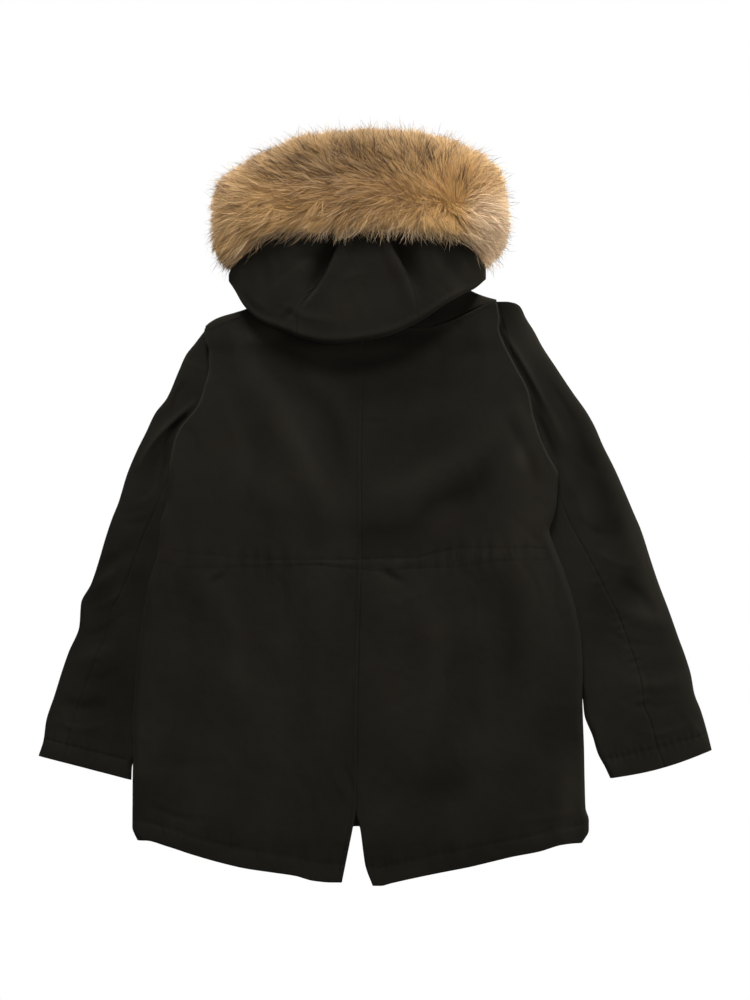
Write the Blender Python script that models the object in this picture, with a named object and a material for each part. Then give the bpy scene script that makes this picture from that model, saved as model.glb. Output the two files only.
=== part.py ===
"""A child's hooded parka with a long fur trim, laid flat on its front with its back up.

Sizes are millimetres in the tables and metres in the meshes. +Y runs from the hem to the
hood, +X to the wearer's right as the back is looked at, and the coat lies on z = 0.
"""

import math

import bmesh
import bpy
import numpy as np

MM = 0.001
SEAM = 0.15  # half of the gap between two pieces at a seam
WALL = 3.4  # shell cloth, wadding and lining of the body
SLEEVE_WALL = 3.0
HOOD_WALL = 3.2
SLEEVE_HIGH = 10.0  # a sleeve pressed flat, both walls and the air between
SLEEVE_ROUND = 6.0  # how far a sleeve's folded edge is rounded
EDGE_ROUND = 9.0  # how far the body's folded side is rounded
EDGE_INSET = 7.0  # the front's edge lies inside that fold
REST_ON_SLEEVE = 10.6  # the body's side lies on the sleeve from this height
LIFT_RUN = 85.0  # the back comes down from the sleeve over this length
SHOULDER_LIFT_RUN = 30.0
FRONT_LIFT_RUN = 14.0
LIFT_FLAT = 9.0  # panels stay up this far past the sleeve's folded edge
FRONT_HEM = -384.0
PLACKET_LEFT = -47.0
PLACKET_RIGHT = 13.0

# The body's outline: y, x of the left edge.
LEFT_EDGE = (
    (-401, -287), (-385, -293), (-343, -292), (-302, -291), (-261, -291), (-219, -289),
    (-189, -287), (-155, -283), (-120, -277), (-95, -273), (-62, -263), (-49, -260),
    (-19, -258), (7, -250), (28, -249), (55, -246), (75, -242), (91, -236), (110, -221),
    (123, -212), (148, -204), (164, -200), (185, -200), (197, -204), (216, -205),
)
# y, x of the right edge, with the notch where the side tucks in at the waist.
RIGHT_EDGE = (
    (-404, 248), (-389, 256), (-377, 256), (-362, 252), (-331, 251), (-294, 250),
    (-255, 248), (-224, 247), (-193, 248), (-163, 246), (-119, 238), (-89, 229),
    (-49, 214), (-40, 210.5), (-28, 207.5), (-14, 212), (3, 216), (37, 218), (61, 206), (86, 195),
    (110, 188), (135, 183), (167, 167), (197, 152), (213, 147), (221, 148), (243, 145),
)
# The centre-back seam: y, x. Below the last row the two flaps of the vent part.
CENTRE_BACK = (
    (-367, -24), (-304, -23), (-232, -22), (-172, -21), (-112, -19), (-52, -17),
    (32, -18), (104, -17), (164, -16), (232, -16),
)
LEFT_FLAP = ((-452, -41), (-387, -28), (-367, -24))
RIGHT_FLAP = ((-456, -4), (-431, -13), (-418, -15), (-387, -19), (-367, -24))
# Hem and shoulder lines: x, y.
LEFT_HEM = (
    (-287, -401), (-277, -401), (-251, -408), (-221, -418), (-191, -427), (-157, -435),
    (-124, -440), (-97, -444), (-75, -450), (-53, -452), (-41, -452),
)
RIGHT_HEM = (
    (-4, -456), (6, -456), (18, -453), (49, -446), (79, -440), (110, -434), (140, -427),
    (165, -421), (196, -415), (223, -407), (248, -404),
)
LEFT_TOP = (
    (-205, 216), (-196, 216), (-178, 223), (-151, 234), (-118, 242), (-80, 246), (-62, 234),
    (-40, 225), (-16, 222),
)
RIGHT_TOP = (
    (-16, 222), (4, 213), (24, 208.5), (56, 214), (83, 224), (110, 234), (136, 243), (145, 243),
)
LEFT_SHOULDER = ((-204, 222), (-193, 226), (-163, 237), (-137, 246), (-112, 252), (-80, 256))
RIGHT_SHOULDER = ((44, 262), (84, 268), (103, 266), (116, 260), (131, 252), (145, 248))
LEFT_NECK = ((-80, 256), (-72, 226), (-62, 210), (-47, 202))
RIGHT_NECK = ((13, 202), (26, 208), (37, 226), (44, 262))

# Rows of the back from hem to top: y at the centre, y at the side.
BACK_ROWS = (
    (-454, -401), (-447, -395), (-440, -389), (-433, -382), (-428, -377), (-414, -364),
    (-398, -349), (-382, -334), (-367, -319), (-340, -296), (-310, -271), (-280, -246),
    (-250, -220), (-220, -194), (-190, -168), (-160, -143), (-135, -121), (-113, -101),
    (-96, -86), (-86, -77), (-79, -70), (-74, -65), (-69, -60), (-64, -55), (-59, -50),
    (-51, -42), (-38, -30), (-20, -14), (0, 4), (22, 26), (46, 50), (70, 74),
    (94, 98), (118, 122), (142, 146), (164, 166), (184, 184), (198, 198), (211, 208),
    (222, 216),
)
BACK_COLUMNS = 25
EDGE_ANGLES = (18, 36, 54, 72, 90)

# Height of the flat-lying body: y, top of the back, inside of the back.
BODY_HEIGHT = (
    (-456, 3.4, 0.0), (-408, 3.8, 0.0), (-403, 5.0, 1.2), (-394, 8.0, 4.4),
    (-370, 8.8, 5.2), (-330, 9.8, 6.0), (-200, 11.0, 7.2), (60, 12.0, 8.2),
    (180, 12.6, 9.0), (202, 14.5, 11.0), (256, 14.6, 11.1),
)
UNDER_HOOD = 14.8  # the hood lies on the back and shoulders, pressed down to this height
# Folded inner edge of each sleeve, most of it under the body: y, left x, right x.
SLEEVE_INNER = (
    (-328, -293.5, 282), (-313, -292.8, 275), (-296, -286, 266), (-276, -278, 260),
    (-250, -270, 250), (-232, -265, 248), (-200, -255, 239), (-150, -238, 220),
    (-100, -220, 198), (-60, -208, 180), (0, -196, 167), (40, -192, 162),
    (120, -182, 151), (180, -180, 141), (222, -192, 136), (246, -196, 137),
)
# Where the body's side comes off the sleeve down to the surface: y, left, right share.
OFF_SLEEVE = ((-350, 0.0, 0.0), (-318, 1.0, 0.0), (-275, 1.0, 0.0), (-238, 1.0, 1.0))

# The waist casing: x, upper stitch row, lower stitch row.
CASING = (
    (-262, -47, -63), (-223, -54, -72), (-176, -59, -72), (-115, -63, -72),
    (-79, -63, -70), (-22, -63, -75), (4, -62, -77), (43, -61, -74), (72, -55, -73),
    (101, -50, -72), (148, -49, -65), (216, -48, -62),
)
# Gathers of the casing: from x, to x, how many, height.
GATHERS = (
    (-232, -172, 3, 0.9), (-172, -100, 4, 1.7), (-100, -18, 4, 0.9), (-18, 60, 4, 0.9),
    (60, 112, 3, 1.2), (112, 182, 4, 1.7), (182, 212, 2, 0.8),
)
CASING_REACH = 34.0  # the gathers die out this far above and below
HEM_TURN = 23.0  # depth of the turned-up hem
HEM_PUCKERS = 27.0  # length of one pucker of the hem

# Large folds of the back: height, half width, then the points it runs through.
BACK_FOLDS = (
    (-2.2, 15, (149, 68), (109, 14), (77, 3), (46, -25), (2, -34), (-31, -32)),
    (2.4, 10, (165, 128), (186, 86), (202, 44)),
    (-2.0, 7, (158, 100), (178, 62), (190, 28)),
    (-1.6, 17, (-158, 18), (-138, -10), (-118, -40)),
    (2.0, 13, (-125, 128), (-92, 62), (-59, -5)),
    (1.6, 12, (-178, 120), (-160, 60), (-166, 10)),
    (-2.0, 26, (-252, -84), (-222, -120), (-214, -165)),
    (1.5, 14, (-190, -96), (-168, -160), (-170, -220)),
    (-1.5, 22, (0, -330), (66, -342), (131, -318)),
    (1.6, 15, (52, -110), (72, -180), (66, -260)),
    (-1.3, 17, (150, -95), (160, -170), (146, -250)),
    (-1.2, 16, (-92, -120), (-84, -210), (-98, -290)),
    (-1.9, 5, (7, -77), (18, -83), (30, -90)),
    (-1.6, 5, (-180, -79), (-190, -88), (-198, -94)),
)

# Sleeves, shoulder to cuff: y of the outer edge, y of the inner edge, the back seam's
# place across, height.
LEFT_SLEEVE = (
    (213, 216, 0.70, 9.0), (190, 190, 0.66, 9.6), (162, 155, 0.63, 10.0),
    (130, 115, 0.62, 10.0), (95, 72, 0.56, 10.0), (60, 30, 0.47, 10.0),
    (25, -8, 0.42, 10.0), (-15, -50, 0.37, 10.0), (-55, -90, 0.34, 10.0),
    (-95, -128, 0.32, 10.0), (-135, -166, 0.30, 10.0), (-175, -204, 0.29, 10.0),
    (-210, -238, 0.27, 10.0), (-245, -272, 0.26, 10.0), (-270, -297, 0.26, 9.6),
    (-284, -312, 0.26, 9.4), (-299, -328, 0.26, 9.0),
)
RIGHT_SLEEVE = (
    (243, 243, 0.70, 8.4), (239, 237, 0.68, 8.8), (228, 224, 0.66, 9.2), (210, 204, 0.64, 9.6), (175, 165, 0.63, 10.0),
    (137, 120, 0.62, 10.0), (95, 72, 0.62, 10.0), (44, 20, 0.60, 10.0),
    (-7, -30, 0.56, 10.0), (-50, -72, 0.50, 10.0), (-89, -112, 0.47, 10.0),
    (-126, -150, 0.45, 10.0), (-160, -186, 0.45, 10.0), (-195, -222, 0.46, 10.0),
    (-225, -252, 0.47, 10.0), (-255, -285, 0.47, 9.8), (-276, -309, 0.47, 9.4),
    (-292, -326, 0.47, 9.0),
)
# Outer edge of each sleeve: y, x.
LEFT_OUTER = (
    (-299, -405), (-280, -399), (-258, -396), (-227, -386), (-195, -376), (-175, -369),
    (-143, -356), (-116, -354), (-93, -342), (-63, -332), (-39, -325), (-15, -317),
    (5, -309), (38, -299), (67, -287), (89, -276), (112, -265), (130, -251),
    (162, -237), (182, -228), (196, -218), (214, -207), (223, -202),
)
RIGHT_OUTER = (
    (-292, 403), (-276, 399), (-245, 390), (-224, 382), (-202, 378), (-176, 370),
    (-160, 364), (-126, 352), (-89, 338), (-62, 329), (-28, 318), (-7, 309), (19, 298),
    (44, 287), (74, 272), (95, 263), (113, 253), (137, 236), (167, 216), (193, 199),
    (210, 190), (228, 179), (235, 176), (239, 173),
    (242, 167), (243, 160),
)
CUFF_TURN = 22.0
# Large folds of the sleeves, as those of the back.
SLEEVE_FOLDS = (
    (2.4, 9, (-223, 118), (-240, 101), (-262, 85), (-275, 67), (-283, 52)),
    (-1.8, 8, (-236, 84), (-254, 66), (-268, 44)),
    (-1.6, 9, (-290, -46), (-312, -62), (-328, -72)),
    (2.2, 7, (-312, -74), (-322, -83), (-341, -100)),
    (1.6, 9, (-318, -170), (-338, -178), (-362, -186)),
    (-1.5, 8, (-322, -236), (-350, -240), (-376, -236)),
    (2.4, 8, (160, 205), (182, 165), (207, 120)),
    (-2.0, 9, (226, 96), (248, 72), (262, 44)),
    (1.8, 9, (240, 20), (266, 4), (296, -6)),
    (-2.4, 10, (292, -80), (306, -98), (326, -120)),
    (1.8, 9, (286, -118), (318, -134), (350, -140)),
    (1.5, 9, (300, -210), (334, -214), (368, -206)),
)

# The hood's lower fold over the back: x, y.
HOOD_LOW = (
    (-174, 268), (-169, 256), (-158, 239), (-138, 220), (-113, 210), (-84, 199),
    (-54, 194), (-25, 196), (9, 202), (34, 211), (58, 224), (83, 241), (104, 253),
    (118, 260), (131, 271),
)
# Where the hood's cloth ends under the fur: x, y.
HOOD_HIGH = (
    (-174, 287), (-165, 291), (-152, 297), (-140, 311), (-125, 325), (-100, 332),
    (-60, 331), (0, 333), (40, 332), (80, 329), (104, 322), (116, 308), (124, 296),
    (131, 290),
)
HOOD_FLOOR = 15.2  # the hood's lower layer lies over the back from this height
HOOD_LAYER = 26.0  # how far that layer runs back under the fold
HOOD_EDGE_HIGH = 22.5
# The hood's crown from its lower fold to the fur: share of the way, height.
HOOD_CROWN = ((0.0, 33.0), (0.2, 39.0), (0.45, 46.0), (0.7, 51.0), (1.0, 52.0))
# Seams between the hood's panels: y, left seam, right seam.
HOOD_SEAMS = (
    (194, -94, 50), (212, -95, 50), (233, -91, 48), (254, -75, 44), (272, -61, 36),
    (293, -52, 25), (317, -49, 12), (335, -49, 6),
)
# Deep troughs and crests of the hood, as the folds of the back.
HOOD_FOLDS = (
    (-7.0, 9, (-44, 322), (-52, 298), (-64, 270), (-72, 252)),
    (-7.0, 9, (34, 318), (30, 292), (42, 268), (52, 244)),
    (2.5, 8, (10, 317), (22, 296), (32, 268)),
    (-2.2, 6, (-96, 289), (-80, 296), (-64, 301)),
    (-2.4, 6, (-110, 224), (-104, 228), (-96, 226)),
    (-1.8, 9, (78, 300), (92, 276), (104, 262)),
    (-1.8, 9, (-140, 306), (-134, 280), (-130, 256)),
)
# Where the hidden layers in the hood come down to the surface: x, y.
LINING_STEP = (
    (-160, 262), (-112, 262), (-80, 266), (-60, 262), (-44, 246), (16, 246), (34, 270),
    (84, 277), (140, 277),
)
LINING_LEFT = -150.0
LINING_RIGHT = 103.0

# The fur, from its left end over the top to its right end: outer x, y, inner x, y,
# height, height of the inner wall, how far the fur leans over the hood's cloth.
FUR = (
    (-167, 254, -154, 255, 11.0, 5.0, 0.0),
    (-172, 268, -154, 269, 13.6, 7.0, 0.0),
    (-174, 281, -154, 283, 14.4, 8.0, 0.0),
    (-181, 292, -154, 294, 15.0, 9.0, 0.0),
    (-196, 308, -152, 301, 32.0, 25.0, 2.0),
    (-199, 334, -145, 315, 52.0, 38.0, 5.0),
    (-199, 362, -136, 324, 64.0, 48.0, 7.0),
    (-194, 386, -124, 331, 70.0, 52.0, 8.0),
    (-170, 409, -106, 335, 73.0, 54.0, 9.0),
    (-130, 431, -84, 336, 75.0, 54.5, 9.0),
    (-86, 449, -58, 335, 76.0, 54.5, 9.0),
    (-42, 454, -30, 336, 77.0, 54.5, 9.0),
    (1, 456, 0, 336, 77.0, 54.5, 9.0),
    (48, 453, 28, 336, 77.0, 54.5, 9.0),
    (92, 442, 56, 334, 76.0, 54.5, 9.0),
    (128, 426, 80, 333, 74.0, 54.0, 9.0),
    (149, 408, 99, 328, 71.0, 53.0, 8.0),
    (158, 377, 112, 321, 66.0, 50.0, 7.0),
    (161, 340, 120, 311, 54.0, 40.0, 5.0),
    (157, 314, 126, 303, 34.0, 26.0, 2.0),
    (141, 296, 112, 297, 15.0, 9.0, 0.0),
    (130, 283, 107, 284, 14.0, 8.0, 0.0),
    (126, 270, 107, 271, 12.0, 6.0, 0.0),
)
# One section of the fur from the inner wall over the top: share of the way across,
# share of the height.
FUR_SECTION = (
    (0.12, 0.95), (0.30, 1.00), (0.50, 0.99), (0.68, 0.93), (0.84, 0.78), (0.95, 0.56),
    (1.00, 0.32), (0.97, 0.10), (0.90, 0.0),
)
FUR_STATIONS = 52
TUFT = 4.5  # how far a lock of fur stands out

CLOTH_COLOUR = (0.0145, 0.0125, 0.0095, 1.0)
FUR_COLOUR = (0.56, 0.36, 0.16, 1.0)
LINING_COLOUR = (0.012, 0.011, 0.010, 1.0)


def smooth(keys, values, at):
    """Values between the keys, along a cubic that never overshoots."""
    keys = np.asarray(keys, float)
    values = np.asarray(values, float)
    step = np.diff(keys)
    slope = np.diff(values) / step
    both = slope[:-1] * slope[1:]
    tangent = np.zeros(len(keys))
    tangent[0] = slope[0]
    tangent[-1] = slope[-1]
    total = np.where(both > 0, slope[:-1] + slope[1:], 1.0)
    tangent[1:-1] = np.where(both > 0, 2 * both / total, 0.0)
    at = np.clip(at, keys[0], keys[-1])
    i = np.clip(np.searchsorted(keys, at, side="right") - 1, 0, len(step) - 1)
    t = (at - keys[i]) / step[i]
    return (
        values[i] * (1 + 2 * t) * (1 - t) ** 2
        + tangent[i] * step[i] * t * (1 - t) ** 2
        + values[i + 1] * t * t * (3 - 2 * t)
        + tangent[i + 1] * step[i] * t * t * (t - 1)
    )


def column(table, key, value, at):
    """One column of a table as a smooth function of another."""
    table = np.asarray(table, float)
    return smooth(table[:, key], table[:, value], at)


def ease(t):
    """1 at 0, 0 at 1 and beyond, level at both ends."""
    return 0.5 + 0.5 * np.cos(np.pi * np.clip(t, 0.0, 1.0))


def path(points, count):
    """Points evenly along a smooth line through the given ones."""
    points = np.asarray(points, float)
    run = np.concatenate([[0], np.cumsum(np.linalg.norm(np.diff(points[:, :2], axis=0), axis=1))])
    at = np.linspace(0, run[-1], count)
    return np.stack([smooth(run, points[:, k], at) for k in range(points.shape[1])], axis=1)


def folds(table, x, y):
    """Height of a table of folds at x, y: each a soft ridge or trough that dies out at its ends."""
    height = np.zeros(np.shape(x))
    for high, width, *points in table:
        line = path(points, 15)
        away = np.hypot(x[..., None] - line[:, 0], y[..., None] - line[:, 1])
        nearest = np.argmin(away, axis=-1)
        fade = np.sin(np.pi * (nearest + 1.5) / 17) ** 0.7
        height = height + high * fade * np.exp(-((np.min(away, axis=-1) / width) ** 2))
    return height


def left_edge(y):
    return column(LEFT_EDGE, 0, 1, y)


def right_edge(y):
    return column(RIGHT_EDGE, 0, 1, y)


def sleeve_inner(side, y):
    """x of a sleeve's folded inner edge, most of it hidden under the body."""
    return column(SLEEVE_INNER, 0, 1 if side < 0 else 2, y)


def on_sleeve(side, y):
    """Share of the height at which the body's side lies on the sleeve."""
    return column(OFF_SLEEVE, 0, 1 if side < 0 else 2, y)


def lift(side, x, y, run):
    """How far the sleeve under it raises a panel."""
    inner = sleeve_inner(side, y)
    inside = (x - inner) if side < 0 else (inner - x)
    return REST_ON_SLEEVE * on_sleeve(side, y) * ease((inside - LIFT_FLAT) / run)


def gathers(x):
    """Ripple of the waist casing along x."""
    ripple = np.zeros(np.shape(x))
    for start, end, count, high in GATHERS:
        inside = (x >= start) & (x < end)
        t = (x - start) / (end - start)
        uneven = t + 0.05 * np.sin(2 * np.pi * t + start)
        wave = np.cos(2 * np.pi * count * uneven) * high
        ripple = np.where(inside, wave, ripple)
    return ripple


def casing_relief(x, y):
    """The waist tunnel between its two stitch rows, with its gathers."""
    upper = column(CASING, 0, 1, x)
    lower = column(CASING, 0, 2, x)
    middle = (upper + lower) / 2
    half = (upper - lower) / 2
    away = np.abs(y - middle)
    tunnel = 1.6 * ease(away / half) - 1.1 * np.exp(-(((away - half) / 2.6) ** 2))
    spread = ease((away - half) / CASING_REACH)
    return tunnel + gathers(x) * spread


def hem_relief(x, y, edge_y):
    """The turned-up hem: a low roll under its stitch row, with puckers."""
    up = y - edge_y
    roll = 0.9 * np.sin(np.pi * np.clip(up / HEM_TURN, 0, 1))
    row = -0.9 * np.exp(-(((up - HEM_TURN) / 2.8) ** 2))
    pucker = 0.6 * np.cos(2 * np.pi * x / HEM_PUCKERS + 1.3 * np.sin(x / 61.0))
    return roll + row + pucker * ease(np.abs(up - HEM_TURN) / 26.0)


def mesh_object(name, vertices, faces, colour):
    """A named object with its own material, from points in millimetres."""
    mesh = bpy.data.meshes.new(name)
    mesh.from_pydata([tuple(v) for v in np.asarray(vertices, float) * MM], [], faces)
    shape = bmesh.new()
    shape.from_mesh(mesh)
    bmesh.ops.recalc_face_normals(shape, faces=shape.faces)
    bmesh.ops.triangulate(shape, faces=shape.faces)
    if shape.calc_volume(signed=True) < 0:
        bmesh.ops.reverse_faces(shape, faces=shape.faces)
    shape.to_mesh(mesh)
    shape.free()
    mesh.shade_smooth()
    piece = bpy.data.objects.new(name, mesh)
    bpy.context.scene.collection.objects.link(piece)
    material = bpy.data.materials.new(name)
    material.use_nodes = True
    shader = material.node_tree.nodes["Principled BSDF"]
    shader.inputs["Base Color"].default_value = colour
    shader.inputs["Roughness"].default_value = 0.9
    mesh.materials.append(material)
    return piece


def rim(outer, inner, kept):
    """Faces between an outer line of vertices and an inner one that keeps some of its places."""
    faces = []
    for k in range(len(kept) - 1):
        for j in range(kept[k], kept[k + 1]):
            faces.append((outer[j], outer[j + 1], inner[k]))
        faces.append((outer[kept[k + 1]], inner[k + 1], inner[k]))
    return faces


def wall(name, outer, inner, colour, rows=None, columns=None):
    """A cloth wall between two grids. The inside keeps only the given rows and columns."""
    outer = np.asarray(outer, float)
    high, wide = outer.shape[:2]
    rows = list(range(high)) if rows is None else rows
    columns = list(range(wide)) if columns is None else columns
    inner = np.asarray(inner, float)[np.ix_(rows, columns)]
    out = np.arange(high * wide).reshape(high, wide)
    ins = np.arange(inner.shape[0] * inner.shape[1]).reshape(inner.shape[:2]) + out.size
    faces = []
    for grid in (out, ins):
        for i in range(grid.shape[0] - 1):
            for j in range(grid.shape[1] - 1):
                faces.append((grid[i, j], grid[i, j + 1], grid[i + 1, j + 1], grid[i + 1, j]))
    faces += rim(out[0], ins[0], columns)
    faces += rim(out[-1], ins[-1], columns)
    faces += rim(out[:, 0], ins[:, 0], rows)
    faces += rim(out[:, -1], ins[:, -1], rows)
    vertices = np.concatenate([outer.reshape(-1, 3), inner.reshape(-1, 3)])
    return mesh_object(name, vertices, faces, colour)


def cut_wall(name, outer, inner, cells, colour):
    """A cloth wall that has only some cells of its two grids."""
    high, wide = outer.shape[:2]
    out = np.arange(high * wide).reshape(high, wide)
    ins = out + out.size
    faces = []
    edges = {}
    for i, j in np.argwhere(cells):
        ring = ((i, j), (i, j + 1), (i + 1, j + 1), (i + 1, j))
        faces.append(tuple(out[c] for c in ring))
        faces.append(tuple(ins[c] for c in ring))
        for a, b in zip(ring, ring[1:] + ring[:1]):
            key = (min(a, b), max(a, b))
            edges[key] = edges.get(key, 0) + 1
    for (a, b), count in edges.items():
        if count == 1:
            faces.append((out[a], out[b], ins[b], ins[a]))
    vertices = np.concatenate([outer.reshape(-1, 3), inner.reshape(-1, 3)])
    used = sorted({v for face in faces for v in face})
    place = {v: k for k, v in enumerate(used)}
    faces = [tuple(place[v] for v in face) for face in faces]
    return mesh_object(name, vertices[used], faces, colour)


def back_lift(side, x, y):
    """How far the back is raised: it slopes down gently, but soon at the shoulder."""
    run = SHOULDER_LIFT_RUN + (LIFT_RUN - SHOULDER_LIFT_RUN) * ease((y - 110) / 80)
    return lift(side, x, y, run)


def press_down(x, y, z, most):
    """Flattens what the hood lies on."""
    under = ease((hood_low(x) - 10.0 - y) / 12.0)
    return z - np.maximum(z - most, 0.0) * under


def body_top(side, x, y):
    """Outer surface of the back before its folds."""
    z = column(BODY_HEIGHT, 0, 1, y) + back_lift(side, x, y)
    return press_down(x, y, z, UNDER_HOOD)


def body_inside(side, x, y):
    z = column(BODY_HEIGHT, 0, 2, y) + back_lift(side, x, y)
    return press_down(x, y, z, UNDER_HOOD - WALL)


def back(name, side):
    """Half of the back, from the centre seam to the rounded side."""
    rows = np.asarray(BACK_ROWS, float)
    flap = LEFT_FLAP if side < 0 else RIGHT_FLAP
    hem = LEFT_HEM if side < 0 else RIGHT_HEM
    top = LEFT_TOP if side < 0 else RIGHT_TOP
    edge = left_edge if side < 0 else right_edge
    centre = tuple(flap) + tuple(CENTRE_BACK[1:])
    start_y = flap[0][0]
    centre_y = rows[:, 0] + (start_y - rows[0, 0]) * ease((rows[:, 0] - rows[0, 0]) / 60)
    side_y = rows[:, 1] + (edge_end(side)[0] - rows[0, 1]) * ease((rows[:, 1] - rows[0, 1]) / 60)
    side_y = side_y + (edge_end(side)[1] - rows[-1, 1]) * ease((rows[-1, 1] - rows[:, 1]) / 60)
    centre_x = column(centre, 0, 1, centre_y)
    side_x = edge(side_y) - side * EDGE_ROUND
    u = np.linspace(0, 1, BACK_COLUMNS)
    v = (centre_y - centre_y[0]) / (centre_y[-1] - centre_y[0])
    hem_x = centre_x[0] + (side_x[0] - centre_x[0]) * u
    top_x = centre_x[-1] + (side_x[-1] - centre_x[-1]) * u
    hem_y = column(hem, 0, 1, hem_x)
    top_y = column(top, 0, 1, top_x)
    bow = (1 - v)[:, None] * (hem_y - hem_y[0] - (hem_y[-1] - hem_y[0]) * u)[None]
    bow = bow + v[:, None] * (top_y - top_y[0] - (top_y[-1] - top_y[0]) * u)[None]
    x = centre_x[:, None] + (side_x - centre_x)[:, None] * u[None]
    y = centre_y[:, None] + (side_y - centre_y)[:, None] * u[None]
    near_edge = np.maximum((1 - v) ** 3, 0)[:, None] + np.maximum(v**5, 0)[:, None]
    y = y + bow * near_edge
    x[:, 0] += side * SEAM
    edge_y = np.broadcast_to(y[0][None], y.shape)
    relief = folds(BACK_FOLDS, x, y) + casing_relief(x, y) + hem_relief(x, y, edge_y)
    if side < 0:
        relief = relief + 0.8 * np.exp(-(((x - x[:, :1]) / 7.0) ** 2))
    relief = relief * ease((y - 176) / 24.0)
    top_z = body_top(side, x, y)
    outer = np.stack([x, y, top_z + relief], axis=-1)
    inner = np.stack([x, y, body_inside(side, x, y)], axis=-1)
    low = REST_ON_SLEEVE * on_sleeve(side, side_y)
    shown = outer[:, -1, 2]
    hidden = inner[:, -1, 2]
    rolled = []
    lined = []
    for angle in EDGE_ANGLES:
        a = math.radians(angle)
        out_x = edge(side_y) - side * EDGE_ROUND * (1 - math.sin(a))
        in_x = edge(side_y) - side * (EDGE_ROUND - (EDGE_ROUND - WALL) * math.sin(a))
        rolled.append(np.stack([out_x, y[:, -1], low + (shown - low) * math.cos(a)], axis=-1))
        lined.append(np.stack([in_x, y[:, -1], low + (hidden - low) * math.cos(a)], axis=-1))
    outer = np.concatenate([outer, np.stack(rolled, axis=1)], axis=1)
    inner = np.concatenate([inner, np.stack(lined, axis=1)], axis=1)
    # The inside is plain: a few columns in the middle, all of them over the sleeve.
    across = [0, 5, 10, 13] + list(range(15, outer.shape[1]))
    plain = sorted(set(range(9)) | set(every_second(len(rows))))
    return wall(name, outer, inner, CLOTH_COLOUR, rows=plain, columns=across)


def every_second(count):
    """Every second row, with the last one."""
    return sorted(set(range(0, count, 2)) | {count - 1})


def edge_end(side):
    """y where the side edge ends at the hem and at the shoulder."""
    table = LEFT_EDGE if side < 0 else RIGHT_EDGE
    return table[0][0], table[-1][0]


def front(name, side):
    """Half of the front: flat on the surface, lifted over the sleeve, and rolled over the
    shoulder to its seam on the back."""
    shoulder = LEFT_SHOULDER if side < 0 else RIGHT_SHOULDER
    neck = LEFT_NECK if side < 0 else RIGHT_NECK
    seam = LEFT_TOP if side < 0 else RIGHT_TOP
    placket = PLACKET_LEFT if side < 0 else PLACKET_RIGHT
    edge = left_edge if side < 0 else right_edge
    neck_point = shoulder[-1][0] if side < 0 else shoulder[0][0]
    tip = (shoulder[0][0] if side < 0 else shoulder[-1][0]) - side * EDGE_INSET
    share = np.concatenate([np.linspace(0, 0.52, 4), np.linspace(0.58, 1.0, 12)])
    first = 3
    # At the top the columns run from the placket to the neck point and on to the tip.
    top_x = np.where(
        share <= share[first],
        placket + (neck_point - placket) * share / share[first],
        neck_point + (tip - neck_point) * (share - share[first]) / (1 - share[first]),
    )
    top_x[0] += side * 2 * SEAM
    fold_y = column(shoulder, 0, 1, top_x)
    neck_y = column(neck, 0, 1, top_x)
    top_y = np.where(share < share[first], neck_y, fold_y)
    rows = np.linspace(0, 1, 16)
    seam_y = column(seam, 0, 1, top_x) + 0.8
    round_y = np.minimum(6.5, fold_y - seam_y - 1.0)
    outer = []
    inner = []
    last_y = np.where(share < share[first], top_y, top_y - round_y)
    even_x = top_x[0] + (top_x[-1] - top_x[0]) * share
    for r in rows:
        y = FRONT_HEM + (last_y - FRONT_HEM) * r
        near = edge(y[-1] + np.array([-24, -16, -8, 0, 8, 16, 24]))
        side_x = (near.max() if side < 0 else near.min()) - side * EDGE_INSET
        plain = placket + side * 2 * SEAM + (side_x - placket - side * 2 * SEAM) * share
        x = plain + (top_x - even_x) * r**3
        low = lift(side, x, y, FRONT_LIFT_RUN)
        outer.append(np.stack([x, y, low], axis=-1))
        inner.append(np.stack([x, y, low + WALL], axis=-1))
    x = outer[-1][:, 0]
    centre_y = outer[-1][:, 1]
    low = outer[-1][:, 2]
    high = body_top(side, x, np.minimum(centre_y, 243.0))
    high = np.maximum(high, low + 2 * WALL + 1.5)
    middle = (low + high) / 2
    tall = (high - low) / 2
    for angle in (30, 60, 90, 120, 150, 180):
        a = math.radians(angle)
        out_y = centre_y + round_y * math.sin(a)
        in_y = centre_y + (round_y - WALL) * math.sin(a)
        outer.append(np.stack([x, out_y, middle - tall * math.cos(a)], axis=-1))
        inner.append(np.stack([x, in_y, middle - (tall - WALL) * math.cos(a)], axis=-1))
    for t in (0.5, 1.0):
        y = centre_y + (seam_y - centre_y) * t
        outer.append(np.stack([x, y, high], axis=-1))
        inner.append(np.stack([x, y, high - WALL], axis=-1))
    outer = np.stack(outer)
    inner = np.stack(inner)
    cells = np.ones((outer.shape[0] - 1, outer.shape[1] - 1), bool)
    cells[len(rows) - 1 :, :first] = False
    return cut_wall(name, outer, inner, cells, CLOTH_COLOUR)


def placket():
    """The flap down the centre front, flush between the two fronts."""
    across = np.linspace(PLACKET_LEFT, PLACKET_RIGHT, 4)
    along = np.linspace(0, 1, 9)
    top = np.interp(across, (PLACKET_LEFT, -17, PLACKET_RIGHT), (202, 197, 202))
    x = np.broadcast_to(across[None], (9, 4))
    y = FRONT_HEM + (top[None] - FRONT_HEM) * along[:, None]
    outer = np.stack([x, y, np.zeros_like(x)], axis=-1)
    inner = np.stack([x, y, np.full_like(x, WALL)], axis=-1)
    wall("front_placket", outer, inner, CLOTH_COLOUR)


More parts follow.
